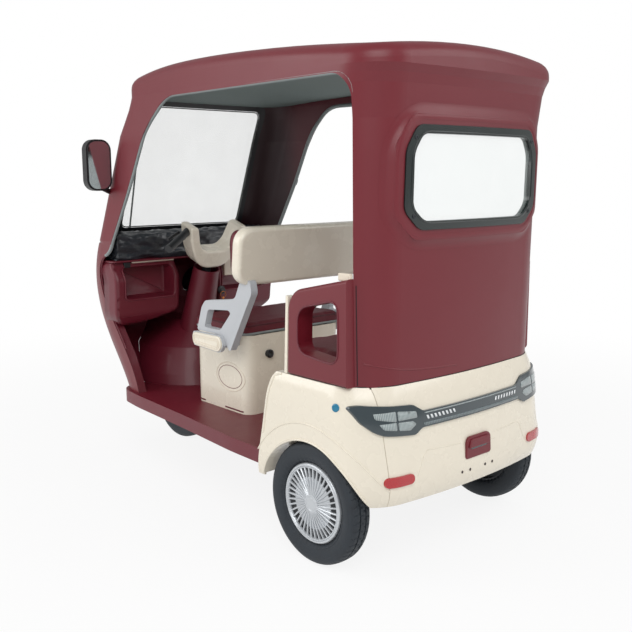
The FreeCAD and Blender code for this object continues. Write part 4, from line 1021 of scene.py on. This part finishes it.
def make_side_panel_trim():
    """A pale strip, a window lip, a foot seam and a catch on each side panel."""
    for name, side in SIDES.items():
        skin = Skin("side_panel_" + name)
        prism_piece("panel_strip_" + name, PANEL_STRIP, "X", side * 446, side * 471, "cream", 2)
        lip = grown(PANEL_WINDOW, 3)
        line_on("panel_window_lip_" + name, lip, name, skin, 3.0, "maroon_inner", True)
        line_on("panel_foot_seam_" + name, [(606, 619), (872, 619)], name, skin, 1.6, "dark_gap")
        prism_piece("panel_catch_" + name, PANEL_CATCH, "X", side * 440, side * 456, "cream_trim")


DOOR_EDGE = [
    (-565, 427), (-640, 561), (-728, 724), (-735, 840), (-690, 905), (-600, 940), (-420, 1220),
    (-300, 1441), (-160, 1556), (877, 1551), (877, 960),
]


def make_seals():
    """A soft grey seal on each door opening's inner edge, and a lip on the leg shield below it."""
    skin = Skin("roof_shell", "nose_cowl", "rear_wall")
    corner = ROUND_STEPS + 1
    edge = rounded(grown(DOOR_EDGE, 3), 62)[corner:-corner]
    lower = edge[:4 * corner]
    upper = edge[4 * corner - 1:]
    for name, facing in (("left", "right"), ("right", "left")):
        line_on("door_seal_" + name, upper, facing, skin, 8.0, "seal", start=0.0)
        line_on("leg_shield_lip_" + name, lower, facing, skin, 6.0, "maroon_inner", start=0.0)


SCREEN_EDGE = symmetric([(318, 1034), (306, 1548)])
HEADLAMP = {
    "ring": ([(-2, 67), (5, 66), (7, 63), (5, 60), (1, 59)], "black_plastic"),
    "bowl": ([(4, 60), (2, 50), (1, 34), (0.6, 22), (2.4, 18), (2.6, 0.3)], "mirror_glass"),
    "lens": ([(4.2, 60), (7, 54), (9.5, 38), (10.8, 18), (11, 0.3)], "lamp_glass"),
}


def make_front():
    """A bead round the windscreen, and a ring, a bright bowl and a domed lens on each headlamp."""
    screen = Skin("windscreen_frame", "windscreen")
    line_on("screen_bead", rounded(SCREEN_EDGE, 30), "front", screen, 2.5, "black_plastic", True)
    for name, side in SIDES.items():
        for label, (profile, finish) in HEADLAMP.items():
            centre = (side * 205, -976, 740)
            button(f"headlamp_{label}_{name}", centre, (0, -1, 0), profile, finish, 64)


# Dash bins: outline and opening, then height and place along the vehicle up their face;
# the pocket's rings say how far in, how far back and how flat
BIN_OUTLINE = [(110, 894), (110, 668), (150, 644), (300, 612), (392, 610), (424, 650), (428, 894)]
BIN_HOLE = [(128, 868), (128, 722), (385, 722), (385, 868)]
BIN_PROFILE = [(600, -640), (660, -606), (760, -598), (802, -596), (893, -640)]
BIN_FLOOR = -598.0
BIN_POCKET = [(0, 0, 0), (3, 12, 0), (6, 60, 0.5), (10, 84, 1.0), (22, 90, 1.0)]
BIN_SKIRT = [0, 20, 60, 110]
BIN_CREASE = [(136, 676), (290, 648), (400, 650)]
DASH_STRIP = rounded(block((112, 880), (328, 894)), 5)
DASH_SHELF = rounded(block((-428, -700), (428, -618)), 20)
DASH_SWITCH = rounded(block((338, 862), (370, 886)), 4)
RELAY_BOX = rounded(block((-200, 790), (-146, 882)), 8)


def bin_depth(height):
    """The place along the vehicle of the bins' face at a height."""
    for (low, near), (high, far) in zip(BIN_PROFILE, BIN_PROFILE[1:]):
        if height <= high:
            share = min(1.0, max(0.0, (height - low) / (high - low)))
            share = share * share * (3 - 2 * share)
            return near + (far - near) * share
    return BIN_PROFILE[-1][1]


def wrinkled(name, node, cell, depth, body):
    """A film-wrapped form: the node's shape, remeshed and creased."""
    piece = linked(name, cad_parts[node].data.copy())
    remeshed(piece, cell)
    low, high = (Vector(corner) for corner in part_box(node))
    room = Vector((4, 4, 4)) * MM
    places = []
    for vertex in piece.data.vertices:
        place = vertex.co / MM
        spot = Vector((place.x / 90, place.y / 34, place.z / 26))
        crease = noise.ridged_multi_fractal(spot, 0.9, 2.1, 4, 1.0, 2.0, noise_basis="PERLIN_ORIGINAL")
        places.append(vertex.co + vertex.normal * ((crease - 1.1) * depth * MM))
    for vertex, place in zip(piece.data.vertices, places):
        vertex.co = held(place, low - room, high + room)
    piece.data.shade_smooth()
    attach(piece, body)
    return piece


def make_dash_bins():
    """The two swelling bins of the dash, their pockets and rims, the trim over them, and the film."""
    def on_face(flat, proud):
        return [(a, bin_depth(b) + proud, b) for a, b in flat]

    for name, side in SIDES.items():
        outline = rounded(mirrored(BIN_OUTLINE, side), 34)
        hole = rounded(mirrored(BIN_HOLE, side), 26)
        flat, faces = flat_net(outline, [hole], 13.0)
        face = piece_from("dash_bin_face_" + name, on_face(flat, 0), faces, "maroon_inner")
        thicken(face, 3.0)
        rim = on_face(stepped(hole, BEAD_PITCH, True), 1.0)
        tube("dash_bin_rim_" + name, rim, 4.0, "maroon_inner", closed=True)
        edge = stepped(hole, 10.0, True)
        points = []
        for inset, back, flatness in BIN_POCKET:
            for spot in grown(edge, -inset):
                depth = bin_depth(spot.y) * (1 - flatness) + BIN_FLOOR * flatness
                points.append((spot.x, depth - back, spot.y))
        faces = grid_faces(len(BIN_POCKET), len(edge), True)
        faces.append(tuple(range(len(points) - len(edge), len(points))))
        pocket = piece_from("dash_bin_pocket_" + name, points, faces, "maroon_inner")
        thicken(pocket, 2.0)
        edge = stepped(outline, 10.0, True)
        points = sum((on_face(edge, -back) for back in BIN_SKIRT), [])
        faces = grid_faces(len(BIN_SKIRT), len(edge), True)
        skirt = piece_from("dash_bin_side_" + name, points, faces, "maroon_inner")
        thicken(skirt, 3.0)
        strip = mirrored(DASH_STRIP, side)
        prism_piece("dash_strip_" + name, strip, "Y", -652, -630, "cream_trim", 2)
        crease = on_face(mirrored(BIN_CREASE, side), 1)
        tube("dash_crease_" + name, crease, 2.0, "maroon_inner", smooth=True)
    prism_piece("dash_shelf", DASH_SHELF, "Z", 887, 895, "maroon_inner")
    prism_piece("dash_switch", DASH_SWITCH, "Y", -640, -626, "black_plastic", 2)
    prism_piece("dash_relay_box", RELAY_BOX, "Y", -640, -600, "cream_trim", 4)
    pad = wrinkled("dash_film_pad", "dash_pad", 7.0, 9.0, "body")
    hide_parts("dash_pad")


# Seat box: ends of its low slots, and its ovals as radii, bead and finish
BOX_SLOTS = {"front": (-256, -200), "rear": (-62, 60)}
BOX_OVALS = {
    "seat_box_oval_": ((92, 58), 1.6, "cream_trim"),
    "seat_box_oval_inner_": ((78, 46), 1.2, "maroon"),
}
BRACKET_CAP = rounded([(-113, 650), (-109, 599), (64, 591), (86, 620), (70, 652)], 24)
LOCK_KNOB = [(-2, 17), (3, 17), (5, 15), (6, 11), (4.5, 9), (4.5, 2), (3.4, 0.2)]
BENCH_BOX = [(-410, 898), (-410, 520), (-300, 410), (300, 410), (410, 520), (410, 898)]


def make_seat_box_details():
    """Slots and ovals on the seat box, caps over its brackets, its lock, and the bench's box."""
    box = Skin("seat_box")
    for name, side in SIDES.items():
        # Painted shade: each slot is a thin dark maroon patch laid on the box, not cut into it.
        for label, (low, high) in BOX_SLOTS.items():
            slot = rounded(block((low, 329), (high, 335)), 3)
            patch(f"seat_box_slot_{label}_{name}", slot, name, box, 0.3, 1.0, "maroon_inner", 8.0)
        for label, (radii, bead, finish) in BOX_OVALS.items():
            line_on(label + name, arc((-24, 462), radii, (0, 360, 8)), name, box, bead, finish, True)
        prism_piece("bracket_cap_" + name, BRACKET_CAP, "X", side * 352, side * 368, "cream", 4)
        for inset, radius in ((10, 1.6), (18, 1.2)):
            line = stepped(grown(BRACKET_CAP, -inset), 7.0, True)
            line = [(side * 368.4, spot.x, spot.y) for spot in line]
            tube(f"bracket_cap_ring_{inset}_{name}", line, radius, "cream_trim", closed=True)
    button("lock_knob", (146, 104, 561), (0, 1, 0), LOCK_KNOB, "black_plastic", 40)
    bench = prism_piece("bench_box", rounded(BENCH_BOX, 60), "Z", 322, 594, "cream", 5)
    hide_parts("bench_base")


IGNITION_LOCK = [(-3, 20), (4, 20), (6, 17), (6, 9), (9, 8), (9, 0.2)]
KEY_TAG = rounded([(-91, 690), (-83, 690), (-81, 702), (-93, 702)], 2)


def make_ignition():
    """The ignition lock with its key ring and tag."""
    button("ignition_lock", (-87, -546, 732), (0, 1, 0.15), IGNITION_LOCK, "black_plastic", 36)
    ring = [(a, -532, b) for a, b in arc((-87, 712), (15, 15), (0, 360, 15))]
    tube("key_ring", ring, 1.5, "copper", closed=True)
    prism_piece("key_tag", KEY_TAG, "Y", -533.5, -531, "copper", 0.6)


def make_joint_lines():
    """The dark joint lines between tub, wall, fenders and panels."""
    wall = Skin("rear_wall", "roof_shell", "rear_tub", "fender_left", "fender_right")
    line_on("tub_joint_rear", [(-385, 617), (385, 617)], "rear", wall, 1.6, "dark_gap")
    for name in SIDES:
        line_on("tub_joint_" + name, [(600, 617), (905, 617)], name, wall, 1.6, "dark_gap")
        line_on("panel_joint_" + name, [(884, 622), (884, 930)], name, wall, 1.6, "dark_gap")


add_camera()
mix_finishes()
dress_nodes()
add_floor()
add_studio()
make_tyres()
make_fan_covers()
make_cushions()
make_rear_window()
make_tail_lamp()
make_rear_details()
make_side_panel_trim()
make_seals()
make_front()
make_dash_bins()
make_seat_box_details()
make_ignition()
make_joint_lines()
bpy.context.scene.view_settings.view_transform = "Standard"
